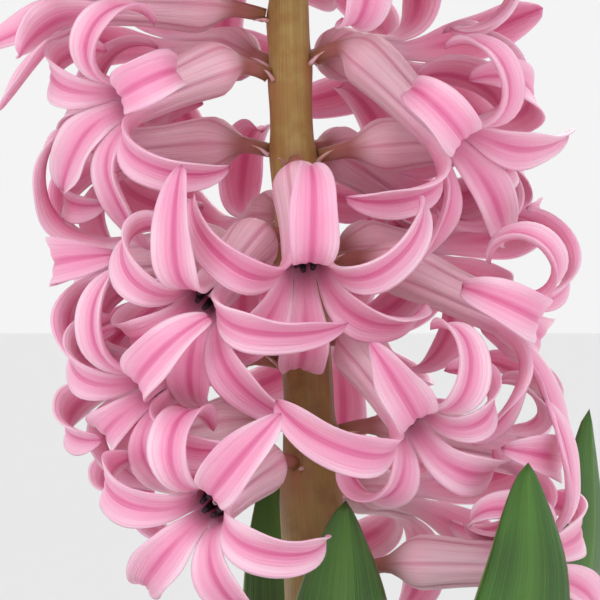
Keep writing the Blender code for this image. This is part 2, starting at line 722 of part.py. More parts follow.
def main():
    for obj in list(bpy.data.objects):
        bpy.data.objects.remove(obj)
    make_pot()
    make_soil()
    make_bulb()
    stem = stem_shell()
    object_from_shell("stem", stem, STEM_GREEN)
    leaves = {name: leaf_shell(*leaf) for name, leaf in LEAVES.items()}
    for name, leaf in leaves.items():
        object_from_shell(name, leaf, LEAF_GREEN)
    buds = bud_shells()
    for number, bud in enumerate(buds, 1):
        object_from_shell(f"bud_{number}", bud, BUD_PINK)
    florets = [Floret(seed, *place, **changes) for seed, (*place, changes) in enumerate(FLORETS, 1)]
    obstacles = [tree_of(shell) for shell in [stem, *leaves.values(), *buds]]
    nudges = open_florets(florets, obstacles)
    for number, (floret, nudge) in enumerate(zip(florets, nudges), 1):
        object_from_shell(f"floret_{number:02d}", floret_shell(floret, nudge), PETAL_PINK)


if __name__ == "__main__":
    main()
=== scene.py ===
"""The looks of the potted hyacinth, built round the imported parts.

Shapes are worked out in millimetres and degrees, as in the parts, and new_piece() scales them to metres.
Azimuth 0 is the front, -Y, and 90 is +X.
"""

import itertools
import json
import math

import bpy
import numpy as np
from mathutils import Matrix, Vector
from mathutils.kdtree import KDTree

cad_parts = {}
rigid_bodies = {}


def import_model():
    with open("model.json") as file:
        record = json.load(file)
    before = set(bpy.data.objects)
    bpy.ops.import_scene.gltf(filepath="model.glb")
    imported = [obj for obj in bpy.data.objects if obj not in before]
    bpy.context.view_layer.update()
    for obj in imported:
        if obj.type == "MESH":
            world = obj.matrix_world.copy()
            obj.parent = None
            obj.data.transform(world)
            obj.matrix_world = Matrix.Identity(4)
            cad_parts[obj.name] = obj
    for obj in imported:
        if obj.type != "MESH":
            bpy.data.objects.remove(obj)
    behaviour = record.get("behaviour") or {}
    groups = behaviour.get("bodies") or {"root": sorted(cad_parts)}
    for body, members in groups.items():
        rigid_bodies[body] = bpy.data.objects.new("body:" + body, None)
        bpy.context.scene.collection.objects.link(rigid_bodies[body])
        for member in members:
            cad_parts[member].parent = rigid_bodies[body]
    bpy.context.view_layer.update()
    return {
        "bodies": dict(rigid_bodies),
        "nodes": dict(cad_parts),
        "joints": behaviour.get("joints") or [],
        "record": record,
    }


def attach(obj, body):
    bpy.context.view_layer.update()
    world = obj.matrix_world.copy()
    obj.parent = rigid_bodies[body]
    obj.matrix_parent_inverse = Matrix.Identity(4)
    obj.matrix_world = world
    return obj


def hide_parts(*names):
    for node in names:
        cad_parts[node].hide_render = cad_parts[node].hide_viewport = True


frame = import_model()

MM = 0.001
UP = np.array([0.0, 0.0, 1.0])

# The usual floret, at size 1.
LOBES = 6
PEDICEL = 5.0
PEDICEL_RADIUS = 1.0
PEDICEL_RISE = 15.0
TUBE_REACH = 26.0
BELLY_RADIUS = 4.2
NECK_RADIUS = 3.5
TUBE_WALL = 0.55
CUP_DEPTH = 0.45
LOBE_LENGTH = 27.0
LOBE_HALF_WIDTH = 4.2
LOBE_START = 12.0
LOBE_FLARE = 58.0
LOBE_CURL = 135.0
LOBE_VARIATION = dict(flare=6.0, curl=18.0, length=0.05, bend=5.0)
GAP = 0.35

# Fineness of the meshes.
STEM_SIDES = 40
STEM_ROWS = 260
BUD_SIDES = 36
BUD_ROWS = 24
POT_SIDES = 128
SOIL_SIDES = 200
BULB_SIDES = 144
BULB_ROWS = 50
CLODS = 420
TUBE_ROWS = 18
CUP_ROWS = 6
LOBE_ROWS = 26
LOBE_COLUMNS = 10

# How far apart two points may be and still be one corner.
SAME_CORNER = 0.02

# The stem's middle line: height, x, y and radius.
STEM_KNOTS = [
    (88.35, 0.0, 0.0, 6.0),
    (120.0, 0.4, 0.0, 6.4),
    (160.0, 0.9, 0.0, 6.2),
    (196.0, 0.2, 0.0, 5.7),
    (211.0, -1.2, 0.0, 5.1),
    (220.0, -1.4, 0.0, 4.3),
    (232.0, -1.7, 0.0, 3.9),
    (267.0, -4.2, 0.0, 3.5),
    (291.0, -4.8, 0.0, 3.15),
    (320.0, -5.2, 0.0, 2.6),
    (345.0, -5.4, 0.0, 1.8),
    (353.0, -5.5, 0.0, 1.3),
]

POT_HEIGHT = 100.0
POT_TOP_RADIUS = 60.0
POT_BASE_RADIUS = 42.0
POT_WALL = 5.0
POT_FLOOR = 7.0
RIM_HEIGHT = 20.0
RIM_PROUD = 3.0
DRAIN_HOLES = 3
DRAIN_RADIUS = 4.0
DRAIN_RING_RADIUS = 24.0

SOIL_TOP = 84.0
BULB_PROFILE = [(9.0, 50.0), (17.0, 53.0), (23.0, 61.0), (24.5, 70.0), (22.0, 80.0), (17.5, 90.0),
                (13.6, 98.0)]
NOSE_TOP = 100.0
NOSE_WELL_RADIUS = 11.0
NOSE_WELL_FLOOR = 88.0

LEAF_THICKNESS = 1.5
LEAF_ROWS = 60
LEAF_COLUMNS = 12


def lobe(**changes):
    """What one lobe of a floret has that the floret's others don't."""
    return changes


# Each floret: height on the stem, azimuth, pitch of its tube, and what it changes in the usual floret.
# Its lobes count from the top one, clockwise as a bee sees them.
FLORETS = [
    (288.5, -84, 2, dict(reach=27, flare=32, curl=35, lobes={
        0: lobe(length=0.9), 2: lobe(length=0.8), 3: lobe(length=0.8, flare=38, curl=10),
        4: lobe(length=0.8, curl=10)})),
    (279.0, -60, -19, dict(roll=10, rise=25, lobes={
        0: lobe(curl=190), 1: lobe(curl=230, length=0.85), 2: lobe(flare=65, curl=110),
        3: lobe(flare=80, curl=30), 4: lobe(flare=50, curl=40, length=0.8, bend=-20),
        5: lobe(flare=32, curl=200)})),
    (267.0, -118, -3, dict()),
    (281.5, 68, -40, dict(reach=28, roll=-10, rise=35, lobes={
        0: lobe(curl=180), 1: lobe(flare=50, curl=45, bend=25),
        2: lobe(flare=45, curl=35, length=1.05, bend=10),
        3: lobe(flare=40, curl=70), 4: lobe(flare=70, curl=60), 5: lobe(curl=200, length=0.9)})),
    (281.5, 146, 0, dict(roll=-10, lobes={
        0: lobe(curl=170), 1: lobe(flare=62, curl=60), 3: lobe(flare=36, curl=40),
        4: lobe(flare=60, curl=40),
        5: lobe(flare=65, curl=20)})),
    (267.0, 148, -18, dict(roll=30)),
    (253.0, -32, -32, dict(roll=15, lobes={
        0: lobe(flare=75, curl=50, bend=-8), 1: lobe(flare=70, curl=70, bend=35, length=1.05),
        2: lobe(flare=65, curl=70, bend=25), 3: lobe(flare=55, curl=110, bend=15),
        4: lobe(flare=60, curl=170, length=1.05), 5: lobe(flare=62, curl=180, length=1.05)})),
    (265.0, 5, -48, dict(rise=-5, lobes={
        0: lobe(curl=160), 1: lobe(flare=71, curl=110, bend=8, length=1.05),
        5: lobe(flare=71, curl=110, bend=-8, length=1.05), 2: lobe(flare=60, curl=90),
        3: lobe(flare=60, curl=80), 4: lobe(flare=60, curl=90)})),
    (237.0, -56, -25, dict(lobes={3: lobe(flare=75, curl=90)})),
    (217.0, -31, -20, dict(roll=-15, lobes={
        0: lobe(curl=190), 1: lobe(flare=65, curl=45), 2: lobe(flare=65, curl=130, bend=15),
        3: lobe(flare=60, curl=110, length=0.9), 4: lobe(flare=55, curl=90, length=0.85),
        5: lobe(flare=62, curl=150, length=1.1)})),
    (236.5, 38, -38, dict(roll=15, lobes={
        0: lobe(curl=180, bend=-5), 1: lobe(curl=190, bend=-15),
        2: lobe(flare=65, curl=80, bend=-30, length=1.1),
        3: lobe(curl=160, bend=-12), 4: lobe(flare=65, curl=110, length=1.15, bend=15),
        5: lobe(flare=65, curl=50)})),
    (249.0, 85, -22, dict(reach=30, roll=-20, lobes={
        0: lobe(curl=230), 1: lobe(curl=140, length=1.05), 2: lobe(curl=100), 3: lobe(curl=40),
        4: lobe(curl=60, length=0.9), 5: lobe(curl=170)})),
    (222.0, 98, -10, dict(reach=28, roll=30)),
    (199.8, 76, 0, dict(reach=27, lobes={
        0: lobe(flare=65, curl=40), 1: lobe(curl=100), 2: lobe(flare=50, curl=60), 5: lobe(curl=180)})),
    (250.0, -100, -5, dict(reach=27, roll=30, lobes={4: lobe(flare=40, curl=190, length=1.1)})),
    (281.0, -142, 5, dict(roll=30)),
    (266.0, 104, 4, dict(reach=27)),
    (250.5, 135, -4, dict()),
    (233.0, -108, -8, dict()),
    (256.0, -165, -10, dict()),
    (240.0, 170, -10, dict()),
    (223.0, -130, -10, dict()),
    (212.0, 150, -8, dict()),
    (299.0, 20, 8, dict(reach=25)),
    (299.0, 95, 10, dict(reach=25)),
    (297.0, -165, 8, dict(reach=25)),
    (305.0, -45, 12, dict(reach=24, size=0.95)),
    (310.0, -110, 15, dict(reach=24, size=0.92)),
    (311.0, 55, 16, dict(reach=24, size=0.92)),
    (311.0, 150, 15, dict(reach=24, size=0.92)),
    (321.0, 5, 24, dict(reach=23, size=0.85)),
    (323.0, -75, 28, dict(reach=23, size=0.82)),
    (323.0, 100, 28, dict(reach=23, size=0.82)),
    (323.0, -160, 28, dict(reach=23, size=0.82)),
    (335.0, 45, 45, dict(reach=20, size=0.72, curl=90)),
    (335.0, -40, 45, dict(reach=20, size=0.72, curl=90)),
    (335.0, 165, 45, dict(reach=20, size=0.72, curl=90)),
]

# Each bud: height on the stem, azimuth, pitch, length and radius.
BUDS = [
    (344.0, 100, 50, 13.0, 3.0),
    (345.0, -110, 50, 13.0, 3.0),
    (349.0, -20, 62, 11.0, 2.5),
]
TERMINAL_BUD = (11.0, 2.6)

# Each leaf: azimuth of its base, whether its base lies in the outer ring, and the knots of its middle
# line from base to tip: x, y, z, azimuth of its outer face, half width and half angle of its channel.
LEAVES = {
    "leaf_front": (5, False, [
        (1.0, -9.0, 130, 5, 8.6, 50), (2.6, -12.6, 168, 8, 10.2, 32), (3.8, -14.5, 196, 8, 9.6, 26),
        (4.2, -15.0, 211.5, 8, 8.4, 26)]),
    "leaf_back": (185, False, [
        (-0.5, 9.6, 130, 185, 8.6, 50), (-1.5, 16.5, 165, 185, 10.0, 32), (-4.5, 22.5, 194, 186, 9.4, 26),
        (-8.0, 26.0, 216, 188, 8.0, 24)]),
    "leaf_right": (50, True, [
        (16.0, -11.5, 128, 48, 8.4, 38), (26.5, -17.5, 166, 30, 10.0, 28), (32.6, -21.5, 198, 15, 9.2, 24),
        (32.6, -22.5, 217.7, 10, 8.0, 24)]),
    "leaf_back_right": (130, True, [
        (15.0, 13.0, 126, 122, 8.4, 38), (31.0, 24.0, 162, 90, 10.0, 28), (44.0, 31.0, 197, 60, 9.2, 24),
        (45.0, 33.0, 225, 55, 8.0, 24)]),
    "leaf_back_left": (-130, True, [
        (-16.0, 12.5, 122, -125, 8.4, 38), (-30.0, 20.0, 150, -120, 9.6, 28),
        (-43.0, 25.0, 172, -118, 8.8, 24),
        (-53.0, 29.0, 183, -116, 7.6, 24)]),
    "leaf_left": (-50, True, [
        (-16.0, -12.0, 120, -52, 8.4, 38), (-29.0, -19.5, 142, -56, 10.0, 28),
        (-42.0, -26.5, 158, -58, 9.0, 24),
        (-52.5, -32.0, 164, -60, 7.8, 24)]),
}
# Each ring of leaf bases round the stem: its radius, and half the angle that a base takes up.
INNER_RING = (7.7, 62.0)
OUTER_RING = (9.65, 35.0)

# The view: where the camera looks, how wide a slice of the plant it takes in, and its distance.
CAMERA_DISTANCE = 0.900
VIEW_WIDTH = 0.096
VIEW_MIDDLE = (-0.003, 0.243)
SPIKE_MIDDLE = (0.0, 0.0, 0.25)
FLOOR_RADIUS = 40.0
FLOOR_SIDES = 96
WORLD_LIGHT = 0.92
BACKGROUND = (0.904, 0.904, 0.904, 1.0)


def unit(vector):
    return vector / np.linalg.norm(vector)


def aim(azimuth, pitch):
    """The unit vector that points to an azimuth, raised by a pitch."""
    turn = math.radians(azimuth)
    lift = math.radians(pitch)
    return np.array([math.sin(turn) * math.cos(lift), -math.cos(turn) * math.cos(lift), math.sin(lift)])


def ease(value):
    """0 to 1 with flat ends."""
    value = np.clip(value, 0.0, 1.0)
    return value * value * (3.0 - 2.0 * value)


def hump(value, middle, width):
    return np.exp(-((value - middle) / width)**2)


def hermite(knots, places, place):
    """A smooth curve through knots that lie at increasing places, read at one place."""
    knots = np.asarray(knots, float)
    last = len(places) - 1
    i = int(np.clip(np.searchsorted(places, place) - 1, 0, last - 1))
    span = places[i + 1] - places[i]
    u = (place - places[i]) / span

    def slope(k):
        before, after = max(k - 1, 0), min(k + 1, last)
        return (knots[after] - knots[before]) / (places[after] - places[before]) * span

    start = (2 * u**3 - 3 * u**2 + 1) * knots[i] + (u**3 - 2 * u**2 + u) * slope(i)
    end = (3 * u**2 - 2 * u**3) * knots[i + 1] + (u**3 - u**2) * slope(i + 1)
    return start + end


def stem_at(height):
    """The stem's middle and radius at a height."""
    heights = [knot[0] for knot in STEM_KNOTS]
    x, y, radius = hermite([knot[1:] for knot in STEM_KNOTS], heights, height)
    return np.array([x, y, height]), radius


# ---------------------------------------------------------------- meshes


class Shell:
    """The points and faces of one closed surface, built row by row, with values painted on the points."""

    def __init__(self):
        self.points = []
        self.faces = []
        self.paint = []

    def row(self, points, along=0.0, edge=0.0, front=0.0, grain=(0.0, 0.0, 0.0)):
        first = len(self.points)
        self.points.extend(points)
        count = len(points)
        values = np.zeros((count, 6))
        values[:, 0] = along
        values[:, 1] = edge
        values[:, 2] = front
        values[:, 3:] = grain
        self.paint.append(values)
        return list(range(first, first + count))

    def strip(self, low, high, closed=True):
        """Quads between two rows; they face outwards where the rows run anticlockwise going up."""
        count = len(low)
        for j in range(count if closed else count - 1):
            k = (j + 1) % count
            self.faces.append((low[j], low[k], high[k], high[j]))

    def fan(self, row, tip, closed=True):
        """Triangles from a row up to a tip."""
        count = len(row)
        for j in range(count if closed else count - 1):
            self.faces.append((row[j], row[(j + 1) % count], tip))

    def floor(self, row):
        """The face that closes the bottom of a strip."""
        self.faces.append(tuple(reversed(row)))

    def roof(self, row):
        """The face that closes the top of a strip."""
        self.faces.append(tuple(row))

    def stack(self, rows):
        """Strips up a pile of closed rows, with both ends closed."""
        self.floor(rows[0])
        for low, high in zip(rows, rows[1:]):
            self.strip(low, high)
        self.roof(rows[-1])

    def join(self, other):
        shift = len(self.points)
        self.points.extend(other.points)
        self.paint.extend(other.paint)
        self.faces.extend(tuple(index + shift for index in face) for face in other.faces)


def new_piece(name, shell, material, slot, *replaced):
    """Makes a shell a piece of the plant that rides on its one body."""
    mesh = bpy.data.meshes.new(name)
    mesh.from_pydata((np.array(shell.points) * MM).tolist(), [], shell.faces)
    paint = np.concatenate(shell.paint)
    for column, label in enumerate(("along", "edge", "front")):
        mesh.attributes.new(label, "FLOAT", "POINT").data.foreach_set("value", paint[:, column].copy())
    mesh.attributes.new("grain", "FLOAT_VECTOR", "POINT").data.foreach_set("vector", paint[:, 3:].ravel())
    mesh.shade_smooth()
    mesh.materials.append(material)
    piece = bpy.data.objects.new(name, mesh)
    bpy.context.scene.collection.objects.link(piece)
    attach(piece, "root")
    if replaced:
        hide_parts(*replaced)
    return piece


# ---------------------------------------------------------------- florets


class Floret:
    """One flower of the spike: a thin pedicel, a swollen tube and six lobes round its throat."""

    def __init__(self, seed, height, azimuth, pitch, reach=TUBE_REACH, roll=0.0, rise=PEDICEL_RISE, size=1.0,
                 flare=LOBE_FLARE, curl=LOBE_CURL, lobes=()):
        middle, radius = stem_at(height)
        out = aim(azimuth, rise)
        self.seed = seed
        self.size = size
        self.roll = roll
        self.azimuth = azimuth
        self.neck = NECK_RADIUS * size
        self.axis = aim(azimuth, pitch)
        self.up = unit(UP - self.axis * (UP @ self.axis))
        self.right = np.cross(self.up, self.axis)
        end_radius = (PEDICEL_RADIUS + TUBE_WALL / 2) * size
        foot_gap = radius + GAP + end_radius * abs(math.sin(math.radians(rise)))
        foot = middle + aim(azimuth, 0) * foot_gap
        self.throat = foot + out * PEDICEL * size + self.axis * (reach - PEDICEL) * size
        self.handles = [
            foot,
            foot + out * 0.30 * reach * size,
            self.throat - self.axis * 0.55 * reach * size,
            self.throat,
        ]
        chance = np.random.RandomState(seed)
        self.lobes = []
        for k in range(LOBES):
            changes = dict(lobes).get(k, {})
            shape = dict(flare=flare, curl=curl, length=1.0, bend=0.0)
            for key, most in LOBE_VARIATION.items():
                shift = chance.uniform(-most, most)
                if key not in changes:
                    shape[key] += shift
            shape.update(changes)
            self.lobes.append(shape)

    def tube_frames(self, places):
        """The middle line from foot (0) to throat (1), with the up and right directions along it."""
        a, b, c, d = self.handles
        t = np.asarray(places, float)[:, None]
        line = (1 - t)**3 * a + 3 * (1 - t)**2 * t * b + 3 * (1 - t) * t**2 * c + t**3 * d
        way = 3 * (1 - t)**2 * (b - a) + 6 * (1 - t) * t * (c - b) + 3 * t**2 * (d - c)
        way /= np.linalg.norm(way, axis=1)[:, None]
        ups = np.empty_like(line)
        up = self.up
        for i in reversed(range(len(line))):
            up = unit(up - way[i] * (up @ way[i]))
            ups[i] = up
        return line, ups, np.cross(ups, way)

    def tube_radius(self, places):
        """Pedicel, belly and neck, as a radius from foot (0) to throat (1)."""
        places = np.asarray(places, float)
        swell = ease((places - 0.20) / 0.30)
        waist = ease((places - 0.52) / 0.34)
        radius = PEDICEL_RADIUS + (BELLY_RADIUS - PEDICEL_RADIUS) * swell
        radius = radius + (NECK_RADIUS - BELLY_RADIUS) * waist
        return radius * self.size

    def lobe_line(self, k, nudge, steps=40):
        """One lobe's middle line: positions, crosswise directions and inner normals."""
        shape = self.lobes[k]
        extra_curl, extra_flare, extra_bend, stretch = nudge
        length = LOBE_LENGTH * self.size * shape["length"] * stretch
        root = math.radians(self.roll + 360.0 / LOBES * k)

        def frame(s):
            lean = LOBE_START + (shape["flare"] + extra_flare) * ease(s / 0.5)
            lean = lean + (shape["curl"] + extra_curl) * s**1.5
            lean = np.radians(lean)[:, None]
            around = (root + math.radians(shape["bend"] + extra_bend) * ease(s / 0.3))[:, None]
            outward = np.cos(around) * self.up + np.sin(around) * self.right
            across = np.cos(around) * self.right - np.sin(around) * self.up
            along = np.cos(lean) * self.axis + np.sin(lean) * outward
            normal = np.sin(lean) * self.axis - np.cos(lean) * outward
            return along, across, normal

        s = np.linspace(0.0, 1.0, steps + 1)
        along, _, _ = frame((s[1:] + s[:-1]) / 2)
        start = self.throat + (math.cos(root) * self.up + math.sin(root) * self.right) * self.neck
        line = np.vstack([np.zeros(3), np.cumsum(along * length / steps, axis=0)]) + start
        _, across, normal = frame(s)
        return s, line, across, normal

    def lobe_grid(self, k, nudge):
        """The lobe's outer and inner faces, as two grids of points from throat to tip."""
        s, line, across, normal = self.lobe_line(k, nudge)
        t = np.linspace(0.0, 1.0, LOBE_ROWS + 1)**0.9

        def read(values):
            return np.stack([np.interp(t, s, values[:, axis]) for axis in range(3)], axis=1)[:, None, :]

        line, across, normal = read(line), read(across), read(normal)
        chance = np.random.RandomState(1000 + LOBES * self.seed + k)
        root_width = self.neck * math.radians(180.0 / LOBES)
        width = root_width + (LOBE_HALF_WIDTH * self.size - root_width) * ease(t / 0.45)
        width *= np.clip(1 - (np.clip(t - 0.42, 0, 1) / 0.58)**2.2, 0, 1)**0.62
        channel = np.radians(30 + 10 * ease(t / 0.4) + chance.uniform(-6, 10) * ease((t - 0.3) / 0.5)
                             + chance.uniform(10, 34) * ease((t - 0.72) / 0.28))
        v = np.sin(np.linspace(-1.0, 1.0, LOBE_COLUMNS + 1) * math.pi / 2 * 0.92)
        v /= v[-1]
        twist = math.radians(chance.uniform(-14, 14)) * ease((t - 0.25) / 0.75)[:, None, None]
        cos, sin = np.cos(twist), np.sin(twist)
        across, normal = cos * across + sin * normal, cos * normal - sin * across
        angle = (channel[:, None] * v)[..., None]
        radius = (width / channel)[:, None, None]
        middle = line + radius * (np.sin(angle) * across + (1 - np.cos(angle)) * normal)
        face = np.cos(angle) * normal - np.sin(angle) * across
        ripples = chance.uniform(9, 15)
        first = chance.uniform(0, 6)
        wave = 0.35 * np.sin(t[:, None] * ripples + first + 1.5 * np.sign(v)) * np.abs(v)**3
        middle = middle + face * (wave * ease((t - 0.15) / 0.2)[:, None])[..., None] * self.size
        body = ease((t - 0.02) / 0.25) * ease((1 - t) / 0.2)
        crease = -0.26 * hump(v, 0.0, 0.16) + 0.10 * hump(np.abs(v), 0.30, 0.14)
        crease = crease - 0.12 * hump(np.abs(v), 0.58, 0.12)
        thick = (0.58 - 0.20 * t)[:, None] * (1 - 0.45 * v**2) * (1 - np.abs(v)**6)**0.5
        thick = thick * ((1 - t**8)**0.5)[:, None] * math.sqrt(self.size)
        relief = body[:, None] * crease[None, :] * self.size
        thick, relief = thick[..., None], relief[..., None]
        return middle - face * (thick - 0.5 * relief), middle + face * (thick + relief), t, v

    def ring(self, middle, up, right, radius, groove):
        """Points round the tube, clockwise as seen from the throat, starting at the first lobe's edge."""
        j = np.arange(LOBES * LOBE_COLUMNS)
        angle = np.radians(self.roll + 360.0 / LOBES * (j / LOBE_COLUMNS - 0.5))
        v = np.abs(2 * (j % LOBE_COLUMNS) / LOBE_COLUMNS - 1)
        grooved = radius * (1 - groove * v**5 - 0.4 * groove * hump(v, 0.0, 0.15))
        around = np.cos(angle)[:, None] * up + np.sin(angle)[:, None] * right
        return middle + around * grooved[:, None]


def tube_paint(along, front):
    """What the points of one ring of the tube are painted with."""
    j = np.arange(LOBES * LOBE_COLUMNS)
    turn = 2 * math.pi * (j / LOBE_COLUMNS - 0.5) / LOBES
    edge = np.abs(2 * (j % LOBE_COLUMNS) / LOBE_COLUMNS - 1)
    grain = np.stack([4 * np.cos(turn), 4 * np.sin(turn), np.full(len(j), 0.5 * along)], axis=1)
    return dict(along=along, edge=edge, front=front, grain=grain)


def floret_shell(floret, nudges):
    """The whole floret as one closed surface: the lobes grow out of the tube's rim."""
    shell = Shell()
    places = np.linspace(0.0, 1.0, TUBE_ROWS + 1)**0.9
    radii = floret.tube_radius(places) + TUBE_WALL / 2 * (1 - 0.5 * ease((0.2 - places) / 0.2))
    outer = []
    for place, line, up, right, radius in zip(places, *floret.tube_frames(places), radii):
        groove = 0.13 * float(ease((place - 0.35) / 0.5))
        outer.append(shell.row(floret.ring(line, up, right, radius, groove), **tube_paint(place - 1, 0.0)))
    places = np.linspace(1 - CUP_DEPTH, 1.0, CUP_ROWS + 1)
    inner = []
    radii = floret.tube_radius(places)
    for place, line, up, right, radius in zip(places, *floret.tube_frames(places), radii):
        ring = floret.ring(line, up, right, radius - TUBE_WALL / 2, 0.0)
        inner.append(shell.row(ring, **tube_paint(place - 1, 1.0)))
    shell.roof(outer[0])
    for low, high in zip(outer, outer[1:]):
        shell.strip(high, low)
    for low, high in zip(inner, inner[1:]):
        shell.strip(low, high)
    shell.floor(inner[0])
    for k in range(LOBES):
        add_lobe(shell, floret, k, nudges[k], outer[-1], inner[-1])
    return shell


def add_lobe(shell, floret, k, nudge, outer_rim, inner_rim):
    back, front, t, v = floret.lobe_grid(k, nudge)
    at_rim = [(k * LOBE_COLUMNS + j) % len(outer_rim) for j in range(LOBE_COLUMNS + 1)]
    outer = [outer_rim[j] for j in at_rim]
    inner = [inner_rim[j] for j in at_rim]
    turn = 2 * math.pi * (k + v / 2) / LOBES
    for i in range(1, LOBE_ROWS):
        grain = np.stack([4 * np.cos(turn), 4 * np.sin(turn), np.full(len(v), 0.5 * t[i])], axis=1)
        sides = dict(along=t[i], edge=np.abs(v), grain=grain)
        next_outer = shell.row(back[i], front=0.0, **sides)
        middle = shell.row(front[i, 1:-1], along=t[i], edge=np.abs(v[1:-1]), front=1.0, grain=grain[1:-1])
        next_inner = [next_outer[0], *middle, next_outer[-1]]
        if i == 1:
            shell.faces.append((outer[0], inner[0], next_outer[0]))
            shell.faces.append((outer[-1], next_outer[-1], inner[-1]))
        shell.strip(next_outer, outer, closed=False)
        shell.strip(inner, next_inner, closed=False)
        outer, inner = next_outer, next_inner
    middle = LOBE_COLUMNS // 2
    tip = shell.row([back[-1, middle]], along=1.0, edge=0.0, front=0.5, grain=grain[middle])[0]
    shell.fan(inner, tip, closed=False)
    shell.fan(list(reversed(outer)), tip, closed=False)


def nudges_by_size():
    """Every way in which a lobe may give way: extra curl, flare and bend, and a stretch of its length."""
    curls = (0, 12, -12, 25, -25, 40, -40, 60, 80)
    flares = (0, 8, -8, 16, -16, -26)
    bends = (0, 8, -8, 16, -16)
    lengths = (1.0, 0.93, 0.85, 0.75, 0.6, 0.45)

    def size(nudge):
        return abs(nudge[0]) / 12 + abs(nudge[1]) / 8 + abs(nudge[2]) / 8 + (1 - nudge[3]) * 20

    return sorted(itertools.product(curls, flares, bends, lengths), key=size)


def nudges_in_frame(floret, node, choices):
    """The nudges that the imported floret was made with: a lobe's tip is one of its corners."""
    vertices = frame["nodes"][node].data.vertices
    tree = KDTree(len(vertices))
    for index, vertex in enumerate(vertices):
        tree.insert(vertex.co, index)
    tree.balance()
    found = []
    for k in range(LOBES):
        nearest = math.inf
        for nudge in choices:
            tip = floret.lobe_line(k, nudge)[1][-1] * MM
            distance = tree.find(Vector(tip))[2]
            if distance < nearest:
                nearest, best = distance, nudge
            if nearest < SAME_CORNER * MM:
                break
        found.append(best)
    return found


def rod(points, radii, sides, **paint):
    """A closed round rod along some points."""
    shell = Shell()
    rows = []
    points = np.asarray(points, float)
    ways = np.gradient(points, axis=0)
    side = unit(np.cross(ways[0], UP + 0.013))
    for point, way, radius in zip(points, ways, radii):
        way = unit(way)
        side = unit(side - way * (side @ way))
        other = np.cross(way, side)
        turns = np.arange(sides) * 2 * math.pi / sides
        ring = [point + radius * (math.cos(a) * side + math.sin(a) * other) for a in turns]
        rows.append(shell.row(ring, **paint))
    shell.stack(rows)
    return shell


def stamens_shell(floret):
    """Six dark anthers just inside the throat and the pale style between them."""
    shell = Shell()
    places = np.array([0.80, 0.90, 1.02])
    line, _, _ = floret.tube_frames(np.clip(places, 0, 1))
    line[-1] += floret.axis * 0.6 * floret.size
    size = floret.size
    for k in range(LOBES):
        angle = math.radians(floret.roll + 60 * k + 12)
        out = math.cos(angle) * floret.up + math.sin(angle) * floret.right
        low = line[0] + out * 2.3 * size
        high = line[-1] + out * 1.5 * size
        steps = np.linspace(0.0, 1.0, 7)[:, None]
        points = low + (high - low) * steps + out * 0.25 * size * np.sin(steps * math.pi)
        radii = 0.68 * size * np.sin(np.linspace(0.22, 2.75, 7))**0.6
        shell.join(rod(points, radii, 8, along=1.0))
    steps = np.linspace(0.0, 1.0, 4)[:, None]
    middle = line[0] + (line[-1] - line[0]) * steps * 0.8
    shell.join(rod(middle, [0.7 * size, 0.7 * size, 0.75 * size, 0.5 * size], 8, along=0.0))
    return shell


def bract_shell(floret):
    """Two slender pale scales under the pedicel's foot."""
    shell = Shell()
    chance = np.random.RandomState(3000 + floret.seed)
    foot = floret.handles[0]
    out = aim(floret.azimuth, 0)
    for turn in (-1, 1):
        side = aim(floret.azimuth + 90, 0) * turn
        start = foot - out * 0.5 + side * 1.1 - UP * 0.9
        length = chance.uniform(2.6, 4.6) * floret.size
        way = unit(out * 0.9 + side * chance.uniform(0.2, 0.8) + UP * chance.uniform(-0.2, 0.7))
        steps = np.linspace(0.0, 1.0, 6)[:, None]
        points = start + way * length * steps + UP * 0.5 * np.sin(steps * 2.2)
        shell.join(rod(points, 0.42 * (1.02 - np.linspace(0, 1, 6))**0.8, 6))
    return shell


# ---------------------------------------------------------------- stem, buds, leaves


def stem_shell():
    """The stem, ribbed a little and swollen where each floret leaves it."""
    shell = Shell()
    rows = []
    turns = np.arange(STEM_SIDES) * 2 * math.pi / STEM_SIDES
    for height in np.linspace(STEM_KNOTS[0][0], STEM_KNOTS[-1][0], STEM_ROWS):
        middle, radius = stem_at(height)
        swell = np.zeros(len(turns))
        for place_height, azimuth, *_ in FLORETS:
            if abs(height - place_height) < 8:
                towards = math.radians(azimuth) - math.pi / 2
                nearness = np.exp((np.cos(turns - towards) - 1) * 9)
                below = hump(height, place_height - 0.6, 2.4 if height > place_height else 5.0)
                swell = np.maximum(swell, nearness * below)
        ribs = 0.010 * np.cos(turns * 7 + height * 0.02) + 0.006 * np.cos(turns * 11 - height * 0.03 + 1)
        radii = radius * (0.99 + ribs) + 0.55 * swell
        points = [middle + r * np.array([math.cos(a), math.sin(a), 0.0]) for r, a in zip(radii, turns)]
        grain = np.stack([3 * np.cos(turns), 3 * np.sin(turns), np.full(len(turns), height / 60)], axis=1)
        rows.append(shell.row(points, along=height / 400, edge=swell, grain=grain))
    shell.stack(rows)
    return shell


def bud_shell(foot, axis, length, radius):
    """A closed bud: a short thick foot and a blunt egg with six seams."""
    side = unit(np.cross(axis, UP + 0.01))
    other = np.cross(axis, side)
    shell = Shell()
    rows = []
    turns = np.arange(BUD_SIDES) * 2 * math.pi / BUD_SIDES
    for t in np.linspace(0.0, 0.985, BUD_ROWS):
        swell = 0.30 + 0.66 * math.sin(math.pi * t**0.8)**0.7
        swell *= math.sqrt(max(1 - t**10, 0.02))
        seams = 1 - 0.10 * ease((t - 0.2) / 0.4) * np.abs(np.cos(turns * 3))**8
        ring = [side * math.cos(a) + other * math.sin(a) for a in turns]
        points = [foot + axis * length * t + way * radius * swell * seam for way, seam in zip(ring, seams)]
        grain = np.stack([4 * np.cos(turns), 4 * np.sin(turns), np.full(len(turns), t)], axis=1)
        rows.append(shell.row(points, along=t - 1, edge=np.abs(np.cos(turns * 3)), grain=grain))
    shell.stack(rows)
    return shell


